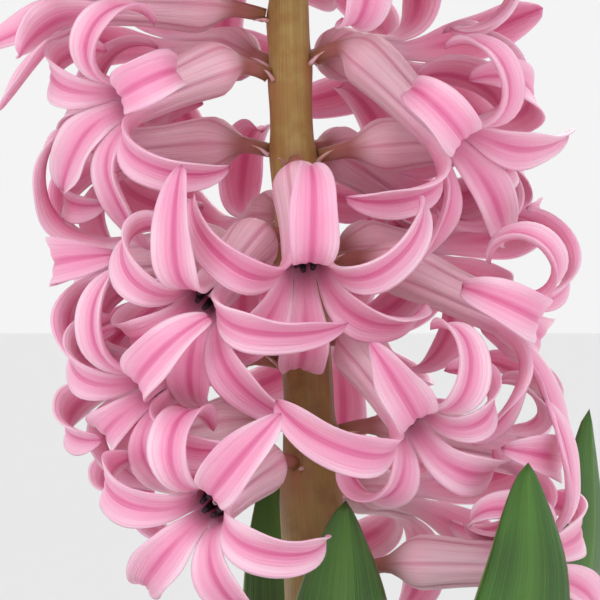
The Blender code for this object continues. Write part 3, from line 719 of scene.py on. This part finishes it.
def leaf_shell(base_azimuth, in_outer_ring, knots):
    """A channelled strap leaf, from its part of the ring round the stem to its blunt tip."""
    base_radius, base_half_angle = OUTER_RING if in_outer_ring else INNER_RING
    base_half_width = base_radius * math.radians(base_half_angle)
    base = []
    for height in (NOSE_WELL_FLOOR + GAP, NOSE_TOP + 1.0):
        x, y, _ = aim(base_azimuth, 0) * base_radius
        base.append((x, y, height, base_azimuth, base_half_width, base_half_angle))
    line = np.array(base + knots, float)
    places = np.concatenate([[0.0], np.cumsum(np.linalg.norm(np.diff(line[:, :3], axis=0), axis=1))])
    shell = Shell()
    v = np.linspace(-1.0, 1.0, LEAF_COLUMNS + 1)
    rows = []
    for t in np.linspace(0.0, 1.0, LEAF_ROWS + 1)[:-1]**0.93:
        x, y, z, azimuth, half_width, channel = hermite(line, places, t * places[-1])
        ahead = hermite(line, places, min(t + 0.01, 1.0) * places[-1])[:3]
        behind = hermite(line, places, max(t - 0.01, 0.0) * places[-1])[:3]
        along = unit(ahead - behind) if t > 0 else UP
        inward = -aim(azimuth, 0)
        inward = unit(inward - along * (inward @ along))
        across = np.cross(inward, along)
        half_width *= (1 - max((t - 0.70) / 0.30, 0.0)**2.2)**0.7
        channel = math.radians(channel + 22 * float(ease((t - 0.86) / 0.14)))
        thickness = LEAF_THICKNESS * (1 - 0.45 * t) * (1 - 0.5 * float(ease((t - 0.95) / 0.05)))
        radius = half_width / channel
        inner, outer = [], []
        for value in v:
            angle = channel * value
            side = math.sin(angle) * across - math.cos(angle) * inward
            wave = 0.25 * math.sin(t * 17 + base_azimuth + 2 * value) * abs(value)**3
            wave = wave * float(ease((t - 0.2) / 0.2))
            middle = np.array([x, y, z]) + radius * (inward + side) + side * wave
            half = thickness / 2 * (1 - abs(value)**6)**0.5 * (1 - 0.35 * value * value)
            keel = 0.22 * float(hump(value, 0.0, 0.10)) * float(ease((t - 0.1) / 0.2))
            outer.append(middle + side * (half + keel))
            inner.append(middle - side * (half - keel))
        grain = np.stack([v * 6, np.full(len(v), base_azimuth / 7), np.full(len(v), t * 2)], axis=1)
        edge = np.abs(v)
        first = shell.row(outer, along=t, edge=edge, front=0.0, grain=grain)
        second = shell.row(inner[-2:0:-1], along=t, edge=edge[-2:0:-1], front=1.0, grain=grain[-2:0:-1])
        rows.append(first + second)
    tip = shell.row([line[-1, :3]], along=1.0, edge=1.0, grain=(0.0, base_azimuth / 7, 2.0))[0]
    shell.floor(rows[0])
    for low, high in zip(rows, rows[1:]):
        shell.strip(low, high)
    shell.fan(rows[-1], tip)
    return shell


# ---------------------------------------------------------------- pot, soil, bulb


def turned(profile, sides, shift):
    """Turns a half section, from its bottom middle to its top middle, and shifts each ring's points."""
    shell = Shell()
    turns = np.arange(sides) * 2 * math.pi / sides
    rows = []
    for radius, height in profile[1:-1]:
        change = shift(radius, height, turns)
        radii, heights = radius + change[0], height + change[1]
        points = np.stack([radii * np.cos(turns), radii * np.sin(turns), heights], axis=1)
        rows.append(shell.row(points, along=height / 100, grain=points / 20))
    bottom = shell.row([np.array([0.0, 0.0, profile[0][1]])])[0]
    top = shell.row([np.array([0.0, 0.0, profile[-1][1]])])[0]
    shell.fan(list(reversed(rows[0])), bottom)
    for low, high in zip(rows, rows[1:]):
        shell.strip(low, high)
    shell.fan(rows[-1], top)
    return shell


def finer(profile, step):
    """The same outline with points added so that none are further apart than a step."""
    points = [profile[0]]
    for (r0, z0), (r1, z1) in zip(profile, profile[1:]):
        count = max(1, math.ceil(math.hypot(r1 - r0, z1 - z0) / step))
        for i in range(1, count + 1):
            points.append((r0 + (r1 - r0) * i / count, z0 + (z1 - z0) * i / count))
    return points


def inner_wall_radius(height):
    """The pot's inside radius at a height."""
    base = POT_BASE_RADIUS - POT_WALL
    return base + (POT_TOP_RADIUS - POT_WALL - base) * height / POT_HEIGHT


def pot_shell():
    rim_bottom = POT_HEIGHT - RIM_HEIGHT
    neck_radius = POT_TOP_RADIUS - RIM_PROUD - 2.5
    profile = [
        (0.0, 0.0),
        (POT_BASE_RADIUS - 1.5, 0.0),
        (POT_BASE_RADIUS - 0.4, 0.4),
        (POT_BASE_RADIUS, 1.5),
        (neck_radius, rim_bottom - 1.0),
        (neck_radius + 0.8, rim_bottom - 0.2),
        (POT_TOP_RADIUS - 2.6, rim_bottom + 0.3),
        (POT_TOP_RADIUS - 1.8, rim_bottom + 1.2),
        (POT_TOP_RADIUS - 0.1, POT_HEIGHT - 2.2),
        (POT_TOP_RADIUS - 0.5, POT_HEIGHT - 0.7),
        (POT_TOP_RADIUS - 1.6, POT_HEIGHT),
        (inner_wall_radius(POT_HEIGHT) + 1.2, POT_HEIGHT),
        (inner_wall_radius(POT_HEIGHT) + 0.3, POT_HEIGHT - 0.6),
        (inner_wall_radius(POT_HEIGHT - 1.5), POT_HEIGHT - 1.8),
        (inner_wall_radius(POT_FLOOR + 3.0), POT_FLOOR + 3.0),
        (inner_wall_radius(POT_FLOOR) - 3.0, POT_FLOOR),
        (0.0, POT_FLOOR),
    ]

    def thrown(radius, height, turns):
        rings = 0.10 * math.sin(height * 1.9) + 0.07 * math.sin(height * 3.3 + 1)
        round_error = 0.12 * np.cos(2 * turns + 0.5) + 0.05 * np.cos(5 * turns + height / 20)
        return np.stack([(rings + round_error) * min(1.0, height / 6), np.zeros(len(turns))])

    return turned(finer(profile, 2.0), POT_SIDES, thrown)


def cut_drain_holes(pot):
    """Cuts the drain holes through the pot's floor, in a ring round its middle."""
    drains = Shell()
    for k in range(DRAIN_HOLES):
        middle = aim(360.0 / DRAIN_HOLES * k, 0) * DRAIN_RING_RADIUS
        drains.join(rod([middle - UP * 2 * POT_FLOOR, middle + UP * 2 * POT_FLOOR], [DRAIN_RADIUS] * 2, 32))
    mesh = bpy.data.meshes.new("drains")
    mesh.from_pydata((np.array(drains.points) * MM).tolist(), [], drains.faces)
    cutter = bpy.data.objects.new("drains", mesh)
    bpy.context.scene.collection.objects.link(cutter)
    cut = pot.modifiers.new("drain_holes", "BOOLEAN")
    cut.operation = "DIFFERENCE"
    cut.solver = "EXACT"
    cut.object = cutter
    pot.data = bpy.data.meshes.new_from_object(pot.evaluated_get(bpy.context.evaluated_depsgraph_get()))
    pot.modifiers.clear()
    bpy.data.objects.remove(cutter)


def soil_shell():
    floor = POT_FLOOR + GAP
    profile = [
        (0.0, floor),
        (inner_wall_radius(floor) - 3.6, floor),
        (inner_wall_radius(floor + 3.0) - GAP - 0.4, floor + 3.0),
        (inner_wall_radius(SOIL_TOP) - GAP - 0.5, SOIL_TOP - 1.0),
    ]
    surface = []
    radius = inner_wall_radius(SOIL_TOP) - 1.6
    while radius > bulb_radius(SOIL_TOP) - 3.0:
        surface.append((radius, SOIL_TOP))
        radius -= 0.9
    chance = np.random.RandomState(5)
    clods = []
    for _ in range(CLODS):
        place = chance.uniform(0, 2 * math.pi), chance.uniform(19, 52)
        clods.append((*place, chance.uniform(1.0, 3.0), chance.uniform(-1.2, 2.2)))

    def crumbs(ring_radius, height, turns):
        rise = np.zeros(len(turns))
        if height < SOIL_TOP:
            return np.zeros((2, len(turns)))
        for clod_turn, clod_radius, width, clod_height in clods:
            if abs(clod_radius - ring_radius) < 3 * width:
                apart = (ring_radius * np.cos(turns) - clod_radius * math.cos(clod_turn))**2
                apart = apart + (ring_radius * np.sin(turns) - clod_radius * math.sin(clod_turn))**2
                if clod_height > 0:
                    rise = np.maximum(rise, clod_height * np.exp(-(apart / width**2)**1.5))
                else:
                    rise = np.minimum(rise, clod_height * np.exp(-(apart / width**2)))
        rise = rise - 0.4 + 0.25 * np.sin(turns * 23 + ring_radius * 2) * np.sin(ring_radius * 1.7)
        return np.stack([np.zeros(len(turns)), rise])

    return turned(profile + surface + [(0.0, SOIL_TOP - 2.0)], SOIL_SIDES, crumbs)


def bulb_radius(height):
    """The bulb's outer radius at a height."""
    radii, heights = zip(*BULB_PROFILE)
    return float(np.interp(height, heights, radii))


def bulb_shell():
    heights = [h for _, h in BULB_PROFILE]
    outline = [(0.0, heights[0] - 1.0)]
    for height in np.linspace(heights[0], heights[-1], BULB_ROWS):
        radius = hermite([[r] for r, _ in BULB_PROFILE], heights, height)[0]
        outline.append((radius, height))
    outline += [
        (NOSE_WELL_RADIUS + 1.4, NOSE_TOP - 0.4),
        (NOSE_WELL_RADIUS + 0.7, NOSE_TOP),
        (NOSE_WELL_RADIUS + 0.1, NOSE_TOP - 0.5),
        (NOSE_WELL_RADIUS, NOSE_WELL_FLOOR),
        (0.0, NOSE_WELL_FLOOR),
    ]

    def skins(radius, height, turns):
        ribs = 0.16 * np.cos(turns * 19 + 0.6 * np.sin(height / 9)) + 0.10 * np.cos(turns * 31 + 1)
        frayed = np.maximum(0, np.sin(turns * 7 + 1.0) * np.sin(turns * 4))
        frayed = frayed * 0.5 * float(ease((height - 88) / 10))
        keep = float(ease((radius - NOSE_WELL_RADIUS) / 3))
        return np.stack([(ribs + frayed) * keep, frayed * keep])

    return turned(outline, BULB_SIDES, skins)


# ---------------------------------------------------------------- materials


def colour(code):
    """A linear colour from its sRGB hex code."""
    parts = [int(code[i:i + 2], 16) / 255 for i in (0, 2, 4)]
    linear = [part / 12.92 if part <= 0.04045 else ((part + 0.055) / 1.055)**2.4 for part in parts]
    return (*linear, 1.0)


class Look:
    """A Principled material and short ways to add nodes to it."""

    def __init__(self, name, roughness, **sockets):
        self.material = bpy.data.materials.new(name)
        self.material.use_nodes = True
        self.tree = self.material.node_tree
        self.shader = self.tree.nodes["Principled BSDF"]
        self.shader.inputs["Roughness"].default_value = roughness
        for socket, value in sockets.items():
            self.shader.inputs[socket.replace("_", " ")].default_value = value

    def put(self, socket, value):
        if isinstance(value, bpy.types.NodeSocket):
            self.tree.links.new(value, socket)
        else:
            socket.default_value = value

    def attribute(self, name, vector=False):
        node = self.tree.nodes.new("ShaderNodeAttribute")
        node.attribute_name = name
        return node.outputs["Vector" if vector else "Fac"]

    def position(self):
        return self.tree.nodes.new("ShaderNodeTexCoord").outputs["Object"]

    def math(self, operation, a, b=0.0, clamp=False):
        node = self.tree.nodes.new("ShaderNodeMath")
        node.operation = operation
        node.use_clamp = clamp
        self.put(node.inputs[0], a)
        self.put(node.inputs[1], b)
        return node.outputs[0]

    def times(self, a, b):
        return self.math("MULTIPLY", a, b)

    def plus(self, a, b):
        return self.math("ADD", a, b)

    def stretch(self, vector, scale):
        node = self.tree.nodes.new("ShaderNodeVectorMath")
        node.operation = "MULTIPLY"
        self.put(node.inputs[0], vector)
        self.put(node.inputs[1], scale)
        return node.outputs[0]

    def noise(self, vector, scale, detail=3.0, roughness=0.5):
        node = self.tree.nodes.new("ShaderNodeTexNoise")
        self.put(node.inputs["Vector"], vector)
        node.inputs["Scale"].default_value = scale
        node.inputs["Detail"].default_value = detail
        node.inputs["Roughness"].default_value = roughness
        return node.outputs["Fac"]

    def between(self, value, low, high, out_low=0.0, out_high=1.0):
        """A smooth step of a value from low to high."""
        node = self.tree.nodes.new("ShaderNodeMapRange")
        node.interpolation_type = "SMOOTHSTEP"
        self.put(node.inputs["Value"], value)
        node.inputs["From Min"].default_value = low
        node.inputs["From Max"].default_value = high
        node.inputs["To Min"].default_value = out_low
        node.inputs["To Max"].default_value = out_high
        return node.outputs["Result"]

    def mix(self, factor, a, b):
        node = self.tree.nodes.new("ShaderNodeMix")
        node.data_type = "RGBA"
        self.put(node.inputs[0], factor)
        colours = [socket for socket in node.inputs if socket.type == "RGBA"]
        self.put(colours[0], a)
        self.put(colours[1], b)
        return [socket for socket in node.outputs if socket.type == "RGBA"][0]

    def paint(self, value):
        self.put(self.shader.inputs["Base Color"], value)

    def bump(self, height, distance, strength=1.0):
        node = self.tree.nodes.new("ShaderNodeBump")
        node.inputs["Distance"].default_value = distance
        node.inputs["Strength"].default_value = strength
        self.put(node.inputs["Height"], height)
        self.put(self.shader.inputs["Normal"], node.outputs["Normal"])


def petal_look():
    """Waxy pink lobes with a deeper middle band and fine lengthwise streaks, and a dusty tube; painted shade
    darkens the lobes towards the throat and the inside of the tube.
    """
    look = Look("petal", 0.38, Subsurface_Weight=0.25, Subsurface_Scale=0.0018)
    look.shader.inputs["Subsurface Radius"].default_value = (1.0, 0.35, 0.5)
    along, edge, front = look.attribute("along"), look.attribute("edge"), look.attribute("front")
    grain = look.attribute("grain", vector=True)
    broad = look.noise(look.stretch(grain, (1.0, 1.0, 0.9)), 1.5, 2.0)
    fine = look.noise(look.stretch(grain, (1.0, 1.0, 0.35)), 6.5, 2.0)
    patch = look.noise(look.position(), 60.0, 2.0)
    streaked_edge = look.plus(edge, look.times(look.math("SUBTRACT", broad, 0.5), 0.9))
    band = look.between(streaked_edge, 0.20, 0.95, 1.0, 0.0)
    band = look.times(band, look.between(along, -0.1, 0.25, 0.45, 1.0))
    middle_edge = look.plus(edge, look.times(look.math("SUBTRACT", fine, 0.5), 0.35))
    stripe = look.between(middle_edge, 0.02, 0.26, 1.0, 0.0)
    stripe = look.times(stripe, look.between(along, 0.02, 0.4))
    pale = look.mix(look.between(patch, 0.35, 0.7), colour("F7CDDD"), colour("F3B3CD"))
    skin = look.mix(look.times(band, 0.85), pale, colour("EE94BB"))
    skin = look.mix(look.times(look.between(fine, 0.42, 0.66), 0.35), skin, colour("E984B1"))
    skin = look.mix(look.times(stripe, 0.72), skin, colour("D8528F"))
    # Painted shade: the lobes' inner faces darken towards the throat, where shade falls in the recess.
    throat = look.times(look.between(along, 0.22, 0.0), front)
    skin = look.mix(look.times(throat, 0.5), skin, colour("DD6A9E"))
    skin = look.mix(look.times(look.between(along, 0.90, 1.0), 0.55), skin, colour("D9709A"))
    tube = look.mix(look.between(edge, 0.70, 1.0), colour("F3C6D3"), colour("E39DB4"))
    tube = look.mix(look.times(look.between(fine, 0.45, 0.7), 0.5), tube, colour("DF8FAA"))
    tube = look.mix(look.between(along, -0.60, -0.80), tube, colour("B5716A"))
    tube = look.mix(look.between(along, -0.82, -1.0), tube, colour("9A6A46"))
    # Painted shade: the inside of the tube's cup is painted darker, where shade falls in the throat.
    inside = look.times(front, look.between(along, 0.0, -0.1))
    tube = look.mix(inside, tube, colour("C9527F"))
    look.paint(look.mix(look.between(along, 0.05, -0.22), skin, tube))
    papillae = look.noise(look.position(), 2600.0, 2.0)
    relief = look.plus(look.times(fine, 1.0), look.times(papillae, 0.22))
    look.bump(relief, 0.00022, 0.8)
    return look.material


def bud_look():
    look = Look("bud", 0.45, Subsurface_Weight=0.2, Subsurface_Scale=0.0015)
    along, edge = look.attribute("along"), look.attribute("edge")
    fine = look.noise(look.attribute("grain", vector=True), 5.0)
    skin = look.mix(look.between(edge, 0.6, 1.0), colour("DE9FB0"), colour("C0728C"))
    skin = look.mix(look.times(look.between(fine, 0.4, 0.7), 0.5), skin, colour("C8839A"))
    skin = look.mix(look.between(along, -0.25, 0.0), skin, colour("9C8A63"))
    look.paint(look.mix(look.between(along, -0.75, -1.0), skin, colour("A07A55")))
    look.bump(fine, 0.0002, 0.6)
    return look.material


def stamen_look():
    look = Look("stamen", 0.55)
    along = look.attribute("along")
    speckle = look.noise(look.position(), 2200.0)
    dark = look.mix(look.between(speckle, 0.45, 0.65), colour("1D1019"), colour("4A3346"))
    look.paint(look.mix(along, colour("E9B9C9"), dark))
    look.bump(speckle, 0.0002, 0.8)
    return look.material


def bract_look():
    look = Look("bract", 0.5, Subsurface_Weight=0.2, Subsurface_Scale=0.001)
    speckle = look.noise(look.position(), 700.0)
    look.paint(look.mix(look.between(speckle, 0.4, 0.6), colour("E8C3CE"), colour("C99A8C")))
    look.bump(speckle, 0.0001, 0.4)
    return look.material


def stem_look():
    """Olive at the top, browner lower down, flushed where the florets leave, with fine lengthwise lines."""
    look = Look("stem", 0.42, Subsurface_Weight=0.08, Subsurface_Scale=0.001)
    along, edge = look.attribute("along"), look.attribute("edge")
    grain = look.attribute("grain", vector=True)
    lines = look.noise(look.stretch(grain, (1.0, 1.0, 0.4)), 5.0, 4.0)
    mottle = look.noise(look.position(), 260.0, 4.0)
    low = look.mix(look.between(mottle, 0.38, 0.62), colour("8E7438"), colour("7E6230"))
    high = look.mix(look.between(mottle, 0.38, 0.62), colour("B09A52"), colour("A5823F"))
    skin = look.mix(look.between(along, 0.56, 0.72), low, high)
    skin = look.mix(look.times(look.between(lines, 0.42, 0.62), 0.4), skin, colour("86602F"))
    skin = look.mix(look.between(along, 0.46, 0.30), skin, colour("8FA05A"))
    look.paint(look.mix(look.times(edge, 0.6), skin, colour("A4664E")))
    look.bump(look.plus(lines, look.times(mottle, 0.4)), 0.00025, 0.6)
    return look.material


def leaf_look():
    """Deep waxy green with fine parallel veins, a lighter middle and a thin pale rim."""
    look = Look("leaf", 0.33, Subsurface_Weight=0.06, Subsurface_Scale=0.001)
    along, edge = look.attribute("along"), look.attribute("edge")
    grain = look.attribute("grain", vector=True)
    veins = look.noise(look.stretch(grain, (1.0, 1.0, 0.12)), 9.0, 2.0)
    patch = look.noise(look.position(), 45.0, 2.0)
    skin = look.mix(look.between(patch, 0.35, 0.65), colour("2B5013"), colour("3A681B"))
    skin = look.mix(look.times(look.between(veins, 0.4, 0.65), 0.5), skin, colour("487A28"))
    skin = look.mix(look.between(edge, 0.45, 0.0, 0.0, 0.35), skin, colour("5F8E33"))
    skin = look.mix(look.between(along, 0.30, 0.02), skin, colour("B9C58A"))
    rim = look.mix(look.between(along, 0.9, 1.0), colour("A9B878"), colour("8E5A4A"))
    look.paint(look.mix(look.between(edge, 0.95, 1.0), skin, rim))
    look.bump(veins, 0.0003, 0.7)
    return look.material


def clay_look():
    """Fired clay with soft blotches, fine grit and a little lime bloom near the foot."""
    look = Look("clay", 0.88)
    place = look.position()
    blotch = look.noise(place, 28.0, 4.0)
    grit = look.noise(place, 900.0, 3.0)
    skin = look.mix(look.between(blotch, 0.35, 0.68), colour("B8694A"), colour("C98262"))
    skin = look.mix(look.times(look.between(grit, 0.52, 0.70), 0.5), skin, colour("9A5238"))
    foot = look.between(look.attribute("along"), 0.30, 0.0)
    bloom = look.times(foot, look.between(blotch, 0.42, 0.62))
    look.paint(look.mix(look.times(bloom, 0.5), skin, colour("DCC3B2")))
    look.bump(look.plus(grit, look.times(blotch, 2.0)), 0.0003, 0.6)
    return look.material


def soil_look():
    look = Look("soil", 0.95)
    place = look.position()
    crumb = look.noise(place, 320.0, 5.0, 0.65)
    fleck = look.noise(place, 650.0, 1.0)
    skin = look.mix(look.between(crumb, 0.35, 0.68), colour("1E1510"), colour("4B3626"))
    look.paint(look.mix(look.between(fleck, 0.72, 0.76), skin, colour("A58F74")))
    look.bump(crumb, 0.0012, 1.0)
    return look.material


def bulb_look():
    """Dry purple-brown skins with darker lengthwise lines, paler at the nose."""
    look = Look("bulb", 0.5)
    place = look.position()
    lines = look.noise(look.stretch(place, (1.0, 1.0, 0.12)), 420.0, 3.0)
    patch = look.noise(place, 70.0, 3.0)
    skin = look.mix(look.between(patch, 0.35, 0.65), colour("7A3F56"), colour("9C6474"))
    skin = look.mix(look.times(look.between(lines, 0.42, 0.62), 0.7), skin, colour("4E2436"))
    look.paint(look.mix(look.between(look.attribute("along"), 0.93, 1.0), skin, colour("C9A98A")))
    look.bump(lines, 0.0005, 0.8)
    return look.material


# ---------------------------------------------------------------- the plant


def build_plant():
    petal, stamen, bract = petal_look(), stamen_look(), bract_look()
    choices = nudges_by_size()
    stamens, bracts = Shell(), Shell()
    for seed, (*place, changes) in enumerate(FLORETS, 1):
        floret = Floret(seed, *place, **changes)
        node = f"floret_{seed:02d}"
        shell = floret_shell(floret, nudges_in_frame(floret, node, choices))
        new_piece(f"flower_{seed:02d}", shell, petal, "petal", node)
        stamens.join(stamens_shell(floret))
        bracts.join(bract_shell(floret))
    new_piece("stamens", stamens, stamen, "petal")
    new_piece("bracts", bracts, bract, "petal")
    new_piece("flower_stem", stem_shell(), stem_look(), "stem", "stem")
    leaf = leaf_look()
    for name, shape in LEAVES.items():
        new_piece(name.replace("leaf", "blade"), leaf_shell(*shape), leaf, "leaf", name)
    bud = bud_look()
    for number, (height, azimuth, pitch, length, radius) in enumerate(BUDS, 1):
        middle, stem_radius = stem_at(height)
        foot_gap = stem_radius + GAP + 0.3 * radius * math.sin(math.radians(pitch))
        foot = middle + aim(azimuth, 0) * foot_gap
        shell = bud_shell(foot, aim(azimuth, pitch), length, radius)
        new_piece(f"young_bud_{number}", shell, bud, "bud", f"bud_{number}")
    top, _ = stem_at(STEM_KNOTS[-1][0])
    last = len(BUDS) + 1
    new_piece("top_bud", bud_shell(top + UP * GAP, UP, *TERMINAL_BUD), bud, "bud", f"bud_{last}")
    cut_drain_holes(new_piece("clay_pot", pot_shell(), clay_look(), "clay", "pot"))
    new_piece("potting_soil", soil_shell(), soil_look(), "soil", "soil")
    new_piece("bulb_in_skins", bulb_shell(), bulb_look(), "bulb_skin", "bulb")


# ---------------------------------------------------------------- studio


def add_floor():
    mesh = bpy.data.meshes.new("floor")
    turns = np.arange(FLOOR_SIDES) * 2 * math.pi / FLOOR_SIDES
    rim = [(FLOOR_RADIUS * math.cos(a), FLOOR_RADIUS * math.sin(a), 0.0) for a in turns]
    mesh.from_pydata(rim, [], [tuple(range(FLOOR_SIDES))])
    look = Look("floor", 0.8)
    grain = look.noise(look.position(), 40.0)
    look.paint(look.mix(grain, (0.86, 0.86, 0.86, 1.0), (0.88, 0.88, 0.88, 1.0)))
    mesh.materials.append(look.material)
    floor = bpy.data.objects.new("floor", mesh)
    bpy.context.scene.collection.objects.link(floor)


def add_world():
    """Soft even light, and a pale background wherever a ray leaves the scene towards the camera."""
    world = bpy.data.worlds.new("studio")
    bpy.context.scene.world = world
    world.use_nodes = True
    tree = world.node_tree
    light = tree.nodes["Background"]
    light.inputs["Color"].default_value = (1.0, 1.0, 1.0, 1.0)
    light.inputs["Strength"].default_value = WORLD_LIGHT
    seen = tree.nodes.new("ShaderNodeBackground")
    seen.inputs["Color"].default_value = BACKGROUND
    path = tree.nodes.new("ShaderNodeLightPath")
    glossy = tree.nodes.new("ShaderNodeMath")
    glossy.operation = "MAXIMUM"
    through = tree.nodes.new("ShaderNodeMath")
    through.operation = "MAXIMUM"
    tree.links.new(path.outputs["Is Camera Ray"], glossy.inputs[0])
    tree.links.new(path.outputs["Is Glossy Ray"], glossy.inputs[1])
    tree.links.new(glossy.outputs[0], through.inputs[0])
    tree.links.new(path.outputs["Is Transmission Ray"], through.inputs[1])
    mix = tree.nodes.new("ShaderNodeMixShader")
    tree.links.new(through.outputs[0], mix.inputs["Fac"])
    tree.links.new(light.outputs[0], mix.inputs[1])
    tree.links.new(seen.outputs[0], mix.inputs[2])
    tree.links.new(mix.outputs[0], tree.nodes["World Output"].inputs["Surface"])


def add_lamp(name, place, target, size, energy):
    lamp = bpy.data.lights.new(name, "AREA")
    lamp.size = size
    lamp.energy = energy
    obj = bpy.data.objects.new(name, lamp)
    bpy.context.scene.collection.objects.link(obj)
    obj.location = place
    obj.rotation_euler = (Vector(target) - Vector(place)).to_track_quat("-Z", "Y").to_euler()


def add_camera():
    """Level with the spike, from the front, close in on its middle."""
    camera = bpy.data.cameras.new("camera")
    camera.sensor_width = 36.0
    camera.lens = camera.sensor_width * CAMERA_DISTANCE / VIEW_WIDTH
    camera.clip_start = 0.01
    obj = bpy.data.objects.new("camera", camera)
    bpy.context.scene.collection.objects.link(obj)
    obj.location = (VIEW_MIDDLE[0], -CAMERA_DISTANCE, VIEW_MIDDLE[1])
    obj.rotation_euler = (math.radians(90), 0.0, 0.0)
    bpy.context.scene.camera = obj


build_plant()
add_floor()
add_world()
add_lamp("key", (-0.55, -0.95, 0.95), SPIKE_MIDDLE, 0.7, 4.5)
add_lamp("fill", (0.9, -0.8, 0.35), SPIKE_MIDDLE, 0.8, 1.5)
add_lamp("back", (0.3, 0.9, 0.8), SPIKE_MIDDLE, 0.7, 3.0)
add_camera()
bpy.context.scene.view_settings.view_transform = "Standard"
